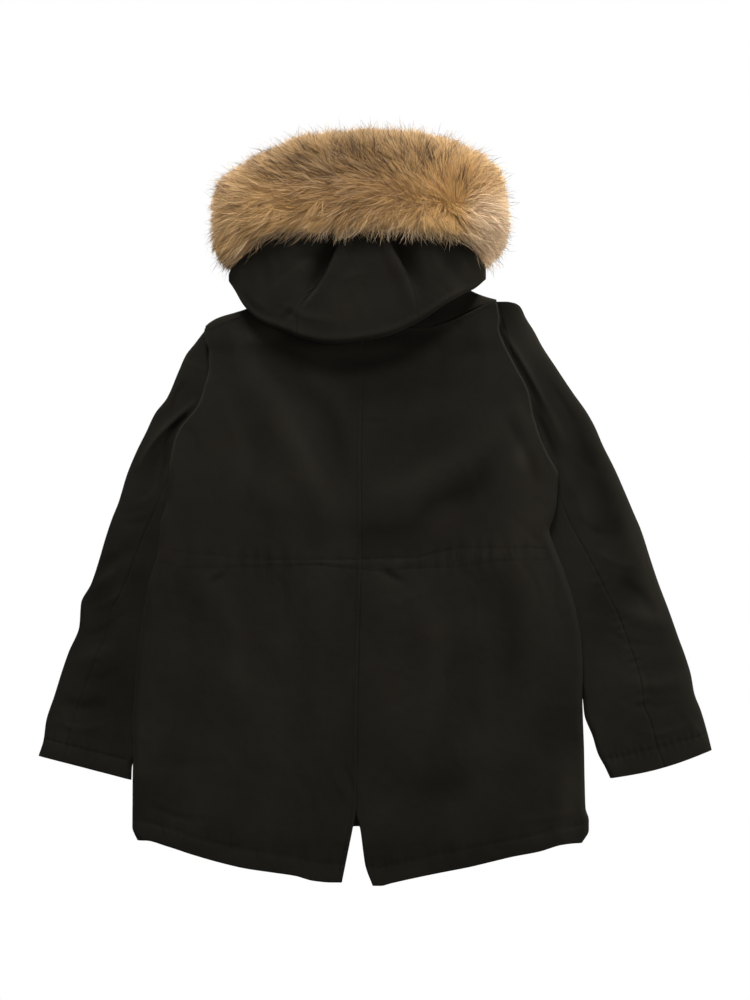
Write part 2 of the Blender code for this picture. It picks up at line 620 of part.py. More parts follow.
def sleeve(side):
    """Both pieces of a sleeve: a flat tube that is split at its two seams."""
    table = np.asarray(LEFT_SLEEVE if side < 0 else RIGHT_SLEEVE, float)
    outline = LEFT_OUTER if side < 0 else RIGHT_OUTER
    t = np.linspace(0, 1, len(table))
    fine = np.linspace(0, 1, 25)
    outer_y, inner_y, seam, high = (smooth(t, table[:, k], fine) for k in range(4))
    start = np.stack([column(outline, 0, 1, outer_y), outer_y], axis=1)
    end = np.stack([sleeve_inner(side, inner_y), inner_y], axis=1)
    wide = np.linalg.norm(end - start, axis=1)
    step = (end - start) / wide[:, None]
    cuff = np.concatenate([[0], np.cumsum(np.linalg.norm(np.diff(start, axis=0), axis=1))])
    cuff = cuff[-1] - cuff
    angles = np.radians((22, 50, 76, 104, 130, 158))

    def ring(across, z, inside):
        """Points at a distance across each section; inside is the wall's inner face."""
        spot = start[:, None] + step[:, None] * across[..., None]
        if inside:
            return np.concatenate([spot, z[..., None]], axis=-1)
        raised = folds(SLEEVE_FOLDS, spot[..., 0], spot[..., 1])
        turn = 0.7 * np.sin(np.pi * np.clip(cuff / CUFF_TURN, 0, 1))
        turn = turn - 0.7 * np.exp(-(((cuff - CUFF_TURN) / 3.0) ** 2))
        share = np.clip((z / high[:, None] - 0.5) * 2, 0, 1)
        raised = (raised + turn[:, None]) * share
        # The body lies on this stretch, so it is pressed flat.
        free = 1 - pressed(spot[..., 0], spot[..., 1])
        return np.concatenate([spot, (z + raised * free)[..., None]], axis=-1)

    def pressed(x, y):
        """0 where the sleeve lies free, 1 under the body's side."""
        edge = left_edge(y) if side < 0 else right_edge(y)
        clear = (edge - x) if side < 0 else (x - edge)
        return 1 - np.clip((clear - 1.0) / 12.0, 0, 1)

    def piece(name, stops, arc_centre, arc_sign, seam_top, seam_bottom):
        """A wall from its seam on top, over one folded edge, to its seam underneath."""
        tops = seam_top[:, None] + (arc_centre - seam_top)[:, None] * stops[None]
        under_stops = np.array([0.0, 0.5, 1.0])
        bottoms = arc_centre[:, None] + (seam_bottom - arc_centre)[:, None] * under_stops[None]
        out = [tops, np.broadcast_to(high[:, None], tops.shape)]
        arc = arc_sign * SLEEVE_ROUND * np.sin(angles)[None] + arc_centre[:, None]
        arc_z = high[:, None] / 2 * (1 + np.cos(angles)[None])
        thin = SLEEVE_ROUND - SLEEVE_WALL
        arc_in = arc_sign * thin * np.sin(angles)[None] + arc_centre[:, None]
        arc_in_z = high[:, None] / 2 + (high[:, None] / 2 - SLEEVE_WALL) * np.cos(angles)[None]
        outer = ring(
            np.concatenate([out[0], arc, bottoms], axis=1),
            np.concatenate([out[1], arc_z, np.zeros_like(bottoms)], axis=1),
            False,
        )
        inner = ring(
            np.concatenate([tops, arc_in, bottoms], axis=1),
            np.concatenate(
                [
                    np.broadcast_to(high[:, None] - SLEEVE_WALL, tops.shape),
                    arc_in_z,
                    np.full_like(bottoms, SLEEVE_WALL),
                ],
                axis=1,
            ),
            True,
        )
        kept = [0, 2, 4] + list(range(6, outer.shape[1]))
        wall(name, outer, inner, CLOTH_COLOUR, rows=every_second(len(outer)), columns=kept)

    word = "left" if side < 0 else "right"
    seam_at = seam * wide
    under = wide - SLEEVE_ROUND - 5.0
    near = np.full_like(wide, SLEEVE_ROUND)
    stops = np.linspace(0, 1, 7)
    piece(f"sleeve_{word}_top", stops, near, -1, seam_at - SEAM, under - SEAM)
    piece(f"sleeve_{word}_under", stops, wide - SLEEVE_ROUND, 1, seam_at + SEAM, under + SEAM)


def hood_low(x):
    return column(HOOD_LOW, 0, 1, x)


def hood_high(x):
    return column(HOOD_HIGH, 0, 1, x)


def hood_swell(x):
    """0 at the hood's sides, 1 over its middle."""
    middle = (HOOD_LOW[0][0] + HOOD_LOW[-1][0]) / 2
    half = (HOOD_LOW[-1][0] - HOOD_LOW[0][0]) / 2
    return np.sqrt(np.clip(1 - (np.abs(x - middle) / half) ** 3.4, 0, 1))


def hood_top(x, share):
    """Height of the hood's outer surface at a share of the way from fold to fur."""
    crown = column(HOOD_CROWN, 0, 1, share)
    y = hood_low(x) + (hood_high(x) - hood_low(x)) * share
    raised = folds(HOOD_FOLDS, x, y) * hood_swell(x)
    return HOOD_EDGE_HIGH + (crown - HOOD_EDGE_HIGH) * hood_swell(x) + raised


def hood_panel(name, left_x, right_x):
    """A panel of the hood between two seams given as functions of y."""
    across = np.linspace(0, 1, 11)
    shares = np.array([0.1, 0.2, 0.32, 0.45, 0.58, 0.71, 0.85, 1.0])
    angles = np.radians((0, 30, 60, 90, 120, 150, 180))
    # x of each column at each share of the way up, following the seams.
    def x_at(share):
        y = 0.5 * (hood_low(0.0) + hood_high(0.0)) + (share - 0.5) * 130.0
        left = left_x(y)
        right = right_x(y)
        return left + (right - left) * across

    outer = []
    inner = []
    x = x_at(0.0)
    swell = hood_swell(x)
    crown = hood_top(x, 0.0)
    radius = (crown - HOOD_FLOOR) / 2
    round_y = 4.0 + 7.0 * swell
    low = hood_low(x)
    room = hood_high(x) - low
    layer = np.minimum(HOOD_LAYER, room - 6.0)
    layer = np.minimum(layer, column(LINING_STEP, 0, 1, x) - 4.0 - low)
    outer.append(np.stack([x, low + layer, np.full_like(x, HOOD_FLOOR)], axis=-1))
    inner.append(np.stack([x, low + layer, np.full_like(x, HOOD_FLOOR + HOOD_WALL)], axis=-1))
    for a in angles:
        out_y = low + round_y - round_y * math.sin(a)
        in_y = low + round_y - (round_y - HOOD_WALL) * math.sin(a)
        out_z = HOOD_FLOOR + radius * (1 - math.cos(a))
        in_z = HOOD_FLOOR + radius - (radius - HOOD_WALL) * math.cos(a)
        outer.append(np.stack([x, out_y, out_z], axis=-1))
        inner.append(np.stack([x, in_y, in_z], axis=-1))
    for share in shares:
        x = x_at(share)
        y = hood_low(x) + (hood_high(x) - hood_low(x)) * share
        y = np.maximum(y, hood_low(x) + 4.0 + 7.0 * hood_swell(x) + 2.0 * share)
        z = hood_top(x, share)
        outer.append(np.stack([x, y, z], axis=-1))
        inner.append(np.stack([x, y, z - HOOD_WALL], axis=-1))
    wall(name, np.stack(outer), np.stack(inner), CLOTH_COLOUR, columns=every_second(len(across)))


def hood():
    low_x = HOOD_LOW[0][0]
    high_x = HOOD_LOW[-1][0]
    hood_panel("hood_left", lambda y: low_x, lambda y: column(HOOD_SEAMS, 0, 1, y) - SEAM)
    hood_panel(
        "hood_center",
        lambda y: column(HOOD_SEAMS, 0, 1, y) + SEAM,
        lambda y: column(HOOD_SEAMS, 0, 2, y) - SEAM,
    )
    hood_panel("hood_right", lambda y: column(HOOD_SEAMS, 0, 2, y) + SEAM, lambda y: high_x)


def hood_lining():
    """The layers folded up inside the hood, as one solid with a flat underside."""
    x = np.linspace(LINING_LEFT, LINING_RIGHT, 20)
    low = hood_low(x) + 4.0 + 9.0 * hood_swell(x)
    step = column(LINING_STEP, 0, 1, x)
    end = hood_high(x) + 1.0
    rows = [(low, True)]
    rows += [(low + (step - 0.6 - low) * t, True) for t in (0.5, 1.0)]
    rows += [(step + (end - step) * t, False) for t in (0.0, 0.2, 0.4, 0.6, 0.8, 1.0)]
    top = []
    bottom = []
    for y, raised in rows:
        share = np.clip((y - hood_low(x)) / (hood_high(x) - hood_low(x)), 0, 1)
        # Lowest nearby height of the cloth above, so that it clears each trough.
        around = [hood_top(x + dx, np.clip(share + dv, 0, 1)) for dx in (-5, 0, 5) for dv in (-0.06, 0, 0.06)]
        z = np.min(around, axis=0) - HOOD_WALL - 1.0
        base = HOOD_FLOOR + HOOD_WALL + 0.4 if raised else 0.0
        z = np.maximum(z, base + 0.8)
        top.append(np.stack([x, y, z], axis=-1))
        bottom.append(np.stack([x, y, np.full_like(x, base)], axis=-1))
    wall("hood_lining", np.stack(top), np.stack(bottom), LINING_COLOUR)


def fur_trim():
    """The fur as a closed body that reaches as far as its hair, in locks."""
    line = path(np.asarray(FUR, float), FUR_STATIONS)
    points = []
    for k, (ox, oy, ix, iy, high, inner_wall, lean) in enumerate(line):
        outward = np.array([ox - ix, oy - iy])
        across = np.linalg.norm(outward)
        outward = outward / across
        lock = math.sin(k * 1.9) + 0.6 * math.sin(k * 0.83 + 1.0)
        free = min(1.0, max(0.0, (high - 20.0) / 30.0))
        ring = [(0.0, 0.0), (0.0, inner_wall)]
        ring.append((-lean, inner_wall + 0.04 * high))
        ring.append((-0.7 * lean, inner_wall + 0.6 * (high - inner_wall)))
        for n, (share, tall) in enumerate(FUR_SECTION):
            tuft = TUFT * free * 0.5 * (lock * math.sin(1.7 * n + 0.4 * k) - 0.2)
            out = share * across + (tuft if 3 <= n <= 6 else 0.0)
            ring.append((min(out, across), max(0.0, tall * high + (tuft if n < 5 else 0.0))))
        points.append([(ix + outward[0] * a, iy + outward[1] * a, z) for a, z in ring])
    points = np.asarray(points)
    points[..., 2] = np.minimum(points[..., 2], 78.0)
    count, around = points.shape[:2]
    faces = []
    for i in range(count - 1):
        for j in range(around):
            k = (j + 1) % around
            faces.append((i * around + j, i * around + k, (i + 1) * around + k, (i + 1) * around + j))
    faces.append(tuple(range(around)))
    faces.append(tuple((count - 1) * around + j for j in range(around)))
    mesh_object("fur_trim", points.reshape(-1, 3), faces, FUR_COLOUR)


def main():
    for obj in list(bpy.data.objects):
        bpy.data.objects.remove(obj, do_unlink=True)
    back("back_left", -1)
    back("back_right", 1)
    front("front_left", -1)
    front("front_right", 1)
    placket()
    sleeve(-1)
    sleeve(1)
    hood()
    hood_lining()
    fur_trim()


main()
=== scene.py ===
"""Looks of a child's hooded parka with a long fur trim, laid flat on its front.

Every cloth panel is rebuilt on its solid's form with its seams, gathers, creases and
stitching, and the fur grows in strands from a smaller body. Sizes are millimetres in the
tables and metres in the meshes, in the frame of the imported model.
"""

import math

import bmesh
import bpy
import numpy as np
from mathutils.kdtree import KDTree
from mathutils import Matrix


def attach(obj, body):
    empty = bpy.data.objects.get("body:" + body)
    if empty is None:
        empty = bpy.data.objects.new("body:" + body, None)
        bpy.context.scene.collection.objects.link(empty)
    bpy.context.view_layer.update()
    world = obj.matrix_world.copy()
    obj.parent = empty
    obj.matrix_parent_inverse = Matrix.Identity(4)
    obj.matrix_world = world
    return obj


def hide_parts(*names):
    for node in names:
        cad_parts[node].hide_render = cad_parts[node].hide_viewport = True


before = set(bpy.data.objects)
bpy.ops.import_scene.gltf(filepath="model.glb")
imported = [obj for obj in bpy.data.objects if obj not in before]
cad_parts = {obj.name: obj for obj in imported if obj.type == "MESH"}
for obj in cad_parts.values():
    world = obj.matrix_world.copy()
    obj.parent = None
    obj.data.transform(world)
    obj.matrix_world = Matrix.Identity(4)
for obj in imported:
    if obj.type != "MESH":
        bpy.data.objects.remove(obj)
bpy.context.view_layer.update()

MM = 0.001
SEAM = 0.03  # half of the gap between two panels at a seam
WALL = 3.4  # shell cloth, wadding and lining of the body
SLEEVE_WALL = 3.0
HOOD_WALL = 3.2
THINNEST = 0.6  # least of the wall that is left under a crease
SLEEVE_ROUND = 6.0  # how far a sleeve's folded edge is rounded
EDGE_ROUND = 9.0  # how far the body's folded side is rounded
ARMHOLE = (60.0, 40.0)  # the armhole's seam runs down to here and fades over this length
ARMHOLE_SQUARE = 0.5  # how much squarer than round the body's side is there
RIM_HIGH = 1.3  # the armhole seam's raised rim
RIM_HIGHLIGHT = 0.55  # painted highlight: how much lighter the cloth is painted on it
EDGE_INSET = 7.0  # the front's edge lies this far inside the body's folded side
REST_ON_SLEEVE = 10.6  # the body's side lies on the sleeve from this height
LIFT_RUN = 85.0  # the back comes down from the sleeve over this length
SHOULDER_LIFT_RUN = 30.0  # the same at the shoulder
FRONT_LIFT_RUN = 14.0  # and for the front
LIFT_FLAT = 9.0  # panels stay up this far past the sleeve's folded edge
FRONT_HEM = -384.0  # y of the front's lower edge, under the back
PLACKET = {-1: -47.0, 1: 13.0}  # x of the placket's two sides

# The body's outline: y, x of the left edge.
LEFT_EDGE = (
    (-401, -287), (-385, -293), (-343, -292), (-302, -291), (-261, -291), (-219, -289),
    (-189, -287), (-155, -283), (-120, -277), (-95, -273), (-62, -263), (-49, -260),
    (-19, -258), (7, -250), (28, -249), (55, -246), (75, -242), (91, -236), (110, -221),
    (123, -212), (148, -204), (164, -200), (185, -200), (197, -204), (215, -205),
)
# y, x of the right edge, with the notch where the side tucks in at the waist.
RIGHT_EDGE = (
    (-404, 248), (-389, 256), (-377, 256), (-362, 252), (-331, 251), (-294, 250),
    (-255, 248), (-224, 247), (-193, 248), (-163, 246), (-119, 238), (-89, 229),
    (-49, 214), (-40, 210.5), (-28, 207.5), (-14, 212), (3, 216), (37, 218), (61, 206),
    (86, 195), (110, 188), (135, 183), (167, 167), (197, 152), (213, 147), (221, 148),
    (243, 145),
)
# The centre-back seam: y, x. Below the last row the two flaps of the vent part.
CENTRE_BACK = (
    (-367, -24), (-304, -23), (-232, -22), (-172, -21), (-112, -19), (-52, -17),
    (32, -18), (104, -17), (164, -16), (232, -16),
)
LEFT_FLAP = ((-452, -41), (-387, -28), (-367, -24))
RIGHT_FLAP = ((-456, -4), (-431, -13), (-418, -15), (-387, -19), (-367, -24))
# Hem and shoulder lines: x, y.
LEFT_HEM = (
    (-287, -401), (-277, -401), (-251, -408), (-221, -418), (-191, -427), (-157, -435),
    (-124, -440), (-97, -444), (-75, -450), (-53, -452), (-41, -452),
)
RIGHT_HEM = (
    (-4, -456), (6, -456), (18, -453), (49, -446), (79, -440), (110, -434), (140, -427),
    (165, -421), (196, -415), (223, -407), (248, -404),
)
LEFT_TOP = (
    (-205, 211), (-196, 215), (-178, 223), (-151, 234), (-118, 242), (-80, 246),
    (-62, 234), (-40, 225), (-16, 222),
)
RIGHT_TOP = (
    (-16, 222), (4, 217), (24, 214), (56, 213), (83, 219.5), (110, 230), (136, 241.5),
    (145, 242.5),
)
LEFT_SHOULDER = (
    (-204.5, 213), (-202.5, 216.5), (-199.5, 220), (-193, 225), (-163, 237), (-137, 246),
    (-112, 252), (-80, 256),
)
RIGHT_SHOULDER = ((44, 262), (84, 268), (103, 266), (116, 260), (131, 251.5), (145, 246.5))
LEFT_NECK = ((-80, 256), (-72, 226), (-62, 210), (-47, 202))
RIGHT_NECK = ((13, 202), (26, 208), (37, 226), (44, 262))

# Rows of the back from hem to top: y at the centre, y at the side.
BACK_ROWS = (
    (-454, -401), (-433, -382), (-398, -349), (-367, -319), (-340, -296), (-310, -271),
    (-280, -246), (-250, -220), (-220, -194), (-190, -168), (-160, -143), (-135, -121),
    (-113, -101), (-96, -86), (-38, -30), (-20, -14), (0, 4), (22, 26), (46, 50),
    (70, 74), (94, 98), (118, 122), (142, 146), (164, 166), (184, 184), (198, 198),
    (211, 208), (222, 216),
)
BACK_STEP = 2.9  # spacing of the rows, and a finer one at the waist's casing
CASING_STEP = 1.5
CASING_ROWS = (-96.0, -38.0)
HEM_STEPS = np.array([[0.4], [1.0], [1.8]])  # rows added over the hem's folded edge
HEM_ROUND = 1.7  # radius of a hem's folded edge
CORNER_RUN = 60.0  # a panel's rows bend to its own corners over this length
# Columns of the back as shares of the way from the centre seam to the side.
BACK_COLUMNS = np.concatenate([
    np.array([0.0, 0.6, 1.3, 2.1, 3.1, 4.4, 6.2, 8.6]) / 240, np.linspace(0.046, 1, 92),
])
# Sections over the back's rounded side.
ROLL_ANGLES = np.radians([6, 12, 18, 25, 33, 42, 51, 60, 69, 76, 83, 90])
NECK_COLUMNS = 10  # how many of the front's columns end at the neck

# Height of the flat-lying body: y, top of the back, inside of the back.
BODY_HEIGHT = (
    (-456, 3.4, 0.0), (-436, 3.9, 0.3), (-415, 5.3, 1.8), (-398, 7.2, 3.7),
    (-370, 8.8, 5.2), (-330, 9.8, 6.0), (-200, 11.0, 7.2), (60, 12.0, 8.2),
    (180, 12.6, 9.0), (202, 14.5, 11.0), (256, 14.6, 11.1),
)
UNDER_HOOD = 14.8  # the hood lies on the back and shoulders, pressed down to this height
# Folded inner edge of each sleeve, most of it under the body: y, left x, right x.
SLEEVE_INNER = (
    (-328, -293.5, 282), (-313, -292.8, 275), (-296, -286, 266), (-276, -278, 260),
    (-250, -270, 250), (-232, -265, 248), (-200, -255, 239), (-150, -238, 220),
    (-100, -220, 198), (-60, -208, 180), (0, -196, 167), (40, -192, 162),
    (120, -182, 151), (180, -180, 141), (222, -192, 136), (246, -196, 137),
)
# Where the body's side comes off the sleeve down to the surface: y, left, right share.
OFF_SLEEVE = (
    (-396, 0.0, 0.0), (-378, 0.08, 0.0), (-356, 0.36, 0.0), (-336, 0.74, 0.0),
    (-318, 1.0, 0.05), (-292, 1.0, 0.3), (-264, 1.0, 0.72), (-238, 1.0, 1.0),
)

# The waist casing: x, upper stitch row, lower stitch row.
CASING = (
    (-262, -47, -63), (-223, -54, -72), (-176, -59, -72), (-115, -63, -72),
    (-79, -63, -70), (-22, -63, -75), (4, -62, -77), (43, -61, -74), (72, -55, -73),
    (101, -50, -72), (148, -49, -65), (216, -48, -62),
)
# Gathers of the casing: from x, to x, how many, height.
GATHERS = (
    (-232, -172, 3, 0.3), (-172, -100, 4, 0.7), (-100, -18, 4, 0.25), (-18, 60, 4, 0.3),
    (60, 112, 3, 0.5), (112, 182, 4, 0.6), (182, 212, 2, 0.2),
)
CASING_REACH = 17.0  # the gathers die out this far above and below
# Small pleats between the gathers: pitch, length and size of its wander, slant, height.
CASING_PLEATS = ((6.4, 17.0, 2.6, 0.16, 1.0), (9.7, 29.0, 1.9, -0.2, 0.6))
# How plain the casing's two rows show, and how high the small pleats between its gathers
# are: x, rows, pleats.
CASING_FORCE = (
    (-262, 0.05, 0.0), (-215, 0.2, 0.3), (-165, 0.4, 0.9), (-130, 0.42, 0.8),
    (-95, 0.5, 0.5), (-30, 0.8, 0.3), (60, 0.75, 0.5), (95, 0.55, 1.0), (140, 0.6, 1.3),
    (165, 0.4, 0.8), (190, 0.15, 0.2), (216, 0.05, 0.0),
)
SHOULDER_SEAM = {-1: 0.25, 1: 1.0}  # how plain the seam behind each shoulder shows
TIP_INSET = 1.5  # the shoulder's roll ends this far inside the shoulder point
SHOULDER_DROOP = {-1: 4.0, 1: 1.0}  # how far the back's rolled side drops off there
HEM_TURN = 23.0  # depth of the turned-up hem
HEM_PUCKERS = 27.0  # length of one pucker of the hem

# Large folds of the back: height, half width, then the points it runs through.
BACK_FOLDS = (
    (-2.8, 15, (149, 68), (109, 14), (77, 3), (46, -25), (2, -34), (-31, -32)),
    (2.4, 17, (118, 62), (80, 44), (44, 20), (-6, 6)),
    (2.4, 10, (165, 128), (186, 86), (202, 44)),
    (-2.0, 7, (158, 100), (178, 62), (190, 28)),
    (-1.6, 17, (-158, 18), (-138, -10), (-118, -40)),
    (2.4, 15, (-125, 128), (-92, 62), (-59, -5)),
    (-2.2, 15, (-96, 150), (-56, 96), (-36, 40)),
    (1.6, 12, (-178, 120), (-160, 60), (-166, 10)),
    (-2.0, 26, (-252, -84), (-222, -120), (-214, -165)),
    (1.5, 14, (-190, -96), (-168, -160), (-170, -220)),
    (-1.5, 22, (0, -330), (66, -342), (131, -318)),
    (1.6, 15, (52, -110), (72, -180), (66, -260)),
    (-1.3, 17, (150, -95), (160, -170), (146, -250)),
    (-1.2, 16, (-92, -120), (-84, -210), (-98, -290)),
    (-1.9, 5, (7, -77), (18, -83), (30, -90)),
    (-1.6, 5, (-180, -79), (-190, -88), (-198, -94)),
    (1.4, 9, (-128, 206), (-98, 193), (-60, 183), (-24, 184), (10, 190)),
    (-1.5, 6, (28, 198), (50, 199), (76, 207), (98, 218)),
    (-1.6, 12, (-118, 178), (-84, 166), (-52, 160), (-18, 162), (20, 172), (64, 196)),
)
# Small creases of the back that only show close by, in the same columns.
BACK_CREASES = (
    (-0.9, 3.0, (-98, 195), (-65, 180), (-40, 174), (-20, 174)),
    (-0.5, 3.0, (-14, 103), (4, 101), (14, 104)),
    (-0.8, 3.2, (-39, -311), (-30, -330), (-24, -349)),
    (-0.7, 3.0, (-12, -349), (-2, -330), (10, -314)),
    (0.6, 3.5, (-34, -349), (-46, -330), (-50, -316)),
    (-0.7, 4.0, (176, -70), (190, -92), (196, -118)),
    (-0.6, 4.0, (206, -60), (214, -84), (212, -120)),
    (0.7, 4.5, (-240, -66), (-246, -94), (-240, -126)),
    (-0.7, 4.0, (-226, 96), (-214, 74), (-216, 44)),
    (0.5, 4.0, (110, -88), (122, -120), (120, -150)),
    (-0.6, 4.0, (-116, -84), (-108, -108), (-112, -136)),
    (0.6, 5.0, (168, -380), (200, -372), (236, -366)),
    (-0.6, 4.0, (-270, -360), (-236, -372), (-196, -378)),
)

# Patches of painted light and shade, where the cloth is painted lighter or darker: painted shadow
# under the hood, painted highlights on lit rims, folds and shoulders: x, y, reach along x and y,
# how much.
BACK_LIGHT_AND_SHADE = (
    (17, 148, 78, 30, -0.42), (34, 84, 62, 42, -0.26), (160, 80, 26, 42, 0.22),
    (194, -66, 32, 125, 0.28), (-103, -226, 72, 90, 0.14), (36, -46, 66, 26, -0.30),
    (29, -424, 115, 22, -0.20), (-144, 188, 62, 30, -0.10), (233, -352, 15, 62, 0.40),
    (-193, -364, 50, 40, 0.14), (-150, 90, 34, 60, -0.20), (190, -225, 26, 50, 0.18),
    (-136, 206, 24, 11, 0.45), (176, 62, 12, 22, 0.50), (40, 200, 60, 12, -0.35),
    (-124, 208, 26, 14, 0.30), (60, 176, 44, 16, -0.16),
)
FRONT_LIGHT_AND_SHADE = ((142, 246, 34, 16, 0.80), (66, 230, 40, 14, -0.30))
SLEEVE_LIGHT_AND_SHADE = (
    (-331, -100, 38, 95, -0.26), (-276, -34, 28, 75, -0.24), (-318, -245, 44, 62, -0.20),
    (272, -112, 18, 52, -0.24), (246, 40, 16, 40, -0.16), (196, 205, 30, 34, 0.30),
    (336, -78, 20, 66, 0.34), (298, -104, 16, 24, -0.34), (302, -46, 16, 26, 0.30),
)
OUTER_HIGHLIGHT = {-1: 0.0, 1: 0.45}  # painted highlight: how much lighter each sleeve's outer fold is painted
HOOD_LIGHT_AND_SHADE = (
    (-14, 236, 62, 34, 0.24), (104, 252, 34, 28, 0.45), (-166, 264, 16, 32, 0.62),
    (-140, 244, 26, 22, 0.14), (118, 272, 24, 44, 0.75), (72, 288, 26, 26, 0.30),
)

# Sleeves, shoulder to cuff: y of the outer edge, y of the inner edge, the back seam's
# place across, height.
LEFT_SLEEVE = (
    (211, 214, 0.70, 9.0), (190, 190, 0.66, 9.6), (162, 155, 0.63, 10.0),
    (130, 115, 0.62, 10.0), (95, 72, 0.56, 10.0), (60, 30, 0.47, 10.0),
    (25, -8, 0.42, 10.0), (-15, -50, 0.37, 10.0), (-55, -90, 0.34, 10.0),
    (-95, -128, 0.32, 10.0), (-135, -166, 0.30, 10.0), (-175, -204, 0.29, 10.0),
    (-210, -238, 0.27, 10.0), (-245, -272, 0.26, 10.0), (-270, -297, 0.26, 9.6),
    (-284, -312, 0.26, 9.4), (-299, -328, 0.26, 9.0),
)
RIGHT_SLEEVE = (
    (245.5, 245.5, 0.70, 8.4), (240, 238, 0.68, 8.8), (228, 224, 0.66, 9.2),
    (210, 204, 0.64, 9.6), (175, 165, 0.63, 10.0), (137, 120, 0.62, 10.0),
    (95, 72, 0.62, 10.0), (44, 20, 0.60, 10.0), (-7, -30, 0.56, 10.0),
    (-50, -72, 0.50, 10.0), (-89, -112, 0.47, 10.0), (-126, -150, 0.45, 10.0),
    (-160, -186, 0.45, 10.0), (-195, -222, 0.46, 10.0), (-225, -252, 0.47, 10.0),
    (-255, -285, 0.47, 9.8), (-276, -309, 0.47, 9.4), (-292, -326, 0.47, 9.0),
)
# Outer edge of each sleeve: y, x.
LEFT_OUTER = (
    (-299, -405), (-280, -399), (-258, -396), (-227, -386), (-195, -376), (-175, -369),
    (-143, -356), (-116, -354), (-93, -342), (-63, -332), (-39, -325), (-15, -317),
    (5, -309), (38, -299), (67, -287), (89, -276), (112, -265), (130, -251),
    (162, -237), (182, -228), (196, -217), (204, -211), (211, -206), (223, -202),
)
RIGHT_OUTER = (
    (-292, 403), (-276, 399), (-245, 390), (-224, 382), (-202, 378), (-176, 370),
    (-160, 364), (-126, 352), (-89, 338), (-62, 329), (-28, 318), (-7, 309), (19, 298),
    (44, 287), (74, 272), (95, 263), (113, 253), (137, 236), (167, 216), (193, 199),
    (210, 190), (228, 179), (235, 176), (240, 173), (244, 167), (245.5, 160),
)
# The tables of each side: -1 is the left one and 1 the right one.
EDGE = {-1: LEFT_EDGE, 1: RIGHT_EDGE}
FLAP = {-1: LEFT_FLAP, 1: RIGHT_FLAP}
HEM = {-1: LEFT_HEM, 1: RIGHT_HEM}
TOP = {-1: LEFT_TOP, 1: RIGHT_TOP}
SHOULDER = {-1: LEFT_SHOULDER, 1: RIGHT_SHOULDER}
NECK = {-1: LEFT_NECK, 1: RIGHT_NECK}
SLEEVE = {-1: LEFT_SLEEVE, 1: RIGHT_SLEEVE}
OUTER = {-1: LEFT_OUTER, 1: RIGHT_OUTER}
OF_SIDE = {-1: 1, 1: 2}  # the column of each side in a table that has both

CUFF_TURN = 22.0  # depth of the turned-in cuff
CUFF_BOW = {-1: 0.0, 1: 5.0}  # how far the cuff's edge bows down in the middle
SLEEVE_ANGLES = np.radians(np.arange(12, 169, 13))  # sections over its folded edges
# Large folds of the sleeves, as those of the back.
SLEEVE_FOLDS = (
    (1.4, 9, (-223, 118), (-240, 101), (-262, 85), (-275, 67), (-283, 52)),
    (2.0, 3.2, (-220, 122), (-232, 112), (-258, 87), (-272, 69), (-284, 48)),
    (-2.4, 4.0, (-222, 112), (-234, 102), (-246, 88), (-250, 72)),
    (-2.8, 4.0, (-228, 104), (-240, 90), (-247, 72), (-251, 50), (-255, 22)),
    (-1.4, 8, (-252, 74), (-262, 56), (-270, 36)),
    (-1.6, 9, (-290, -46), (-312, -62), (-328, -72)),
    (2.2, 7, (-312, -74), (-322, -83), (-341, -100)),
    (1.6, 9, (-318, -170), (-338, -178), (-362, -186)),
    (-1.5, 8, (-322, -236), (-350, -240), (-376, -236)),
    (1.0, 8, (160, 205), (182, 165), (207, 120)),
    (2.4, 3.2, (152, 209), (168, 185), (186, 154), (205, 118)),
    (-2.6, 3.6, (150, 222), (152, 206), (162, 184), (175, 160), (188, 136), (198, 112)),
    (-2.8, 4.5, (186, 122), (196, 102), (206, 80), (214, 60)),
    (1.6, 5, (204, 120), (214, 100), (224, 76)),
    (-2.3, 12, (226, 128), (252, 66), (276, -8), (304, -96)),
    (2.6, 13, (250, 112), (284, 40), (312, -36), (336, -118)),
    (1.4, 9, (226, 40), (244, 6), (254, -40)),
    (-2.2, 8, (296, -94), (312, -104), (330, -122)),
    (1.8, 9, (286, -118), (318, -134), (350, -140)),
    (1.5, 9, (300, -210), (334, -214), (368, -206)),
)
# Small creases across the sleeves.
SLEEVE_CREASES = (
    (-0.9, 3.5, (-226, 150), (-238, 134), (-246, 112)),
    (0.7, 4.0, (-262, 20), (-276, 8), (-292, 2)),
    (-0.8, 4.0, (-268, -12), (-286, -20), (-304, -20)),
    (0.7, 4.0, (-300, -98), (-318, -112), (-338, -122)),
    (-0.8, 4.0, (-304, -128), (-324, -146), (-346, -154)),
    (-0.7, 4.0, (-310, -196), (-334, -206), (-358, -206)),
    (0.6, 4.0, (-330, -262), (-352, -266), (-380, -258)),
    (-0.9, 4.0, (208, 150), (222, 128), (236, 104)),
    (0.7, 4.0, (236, 58), (256, 40), (280, 32)),
    (-0.8, 4.0, (244, -18), (268, -32), (296, -36)),
    (0.8, 4.0, (262, -52), (284, -66), (310, -72)),
    (-0.8, 4.0, (280, -150), (306, -164), (338, -166)),
    (-0.7, 4.0, (292, -232), (324, -240), (358, -236)),
    (0.6, 4.0, (310, -266), (340, -272), (372, -262)),
)
# Puckers along the sleeves' back seams: from y, to y, height, one side's sign.
SEAM_PUCKERS = ((-270, -70, 0.5, 1), (-250, -20, 0.25, -1))
PUCKER_LENGTH = 11.0
PUCKERED = {-1: 0.4, 1: 1.0}  # how strong each sleeve's puckers are

# The hood's lower fold over the back: x, y.
HOOD_LOW = (
    (-175.5, 268.5), (-168.5, 258), (-158, 240), (-138, 220), (-113, 210), (-84, 199),
    (-54, 194), (-25, 196), (9, 202), (34, 211), (58, 224), (83, 241), (104, 253),
    (118, 260), (131, 271),
)
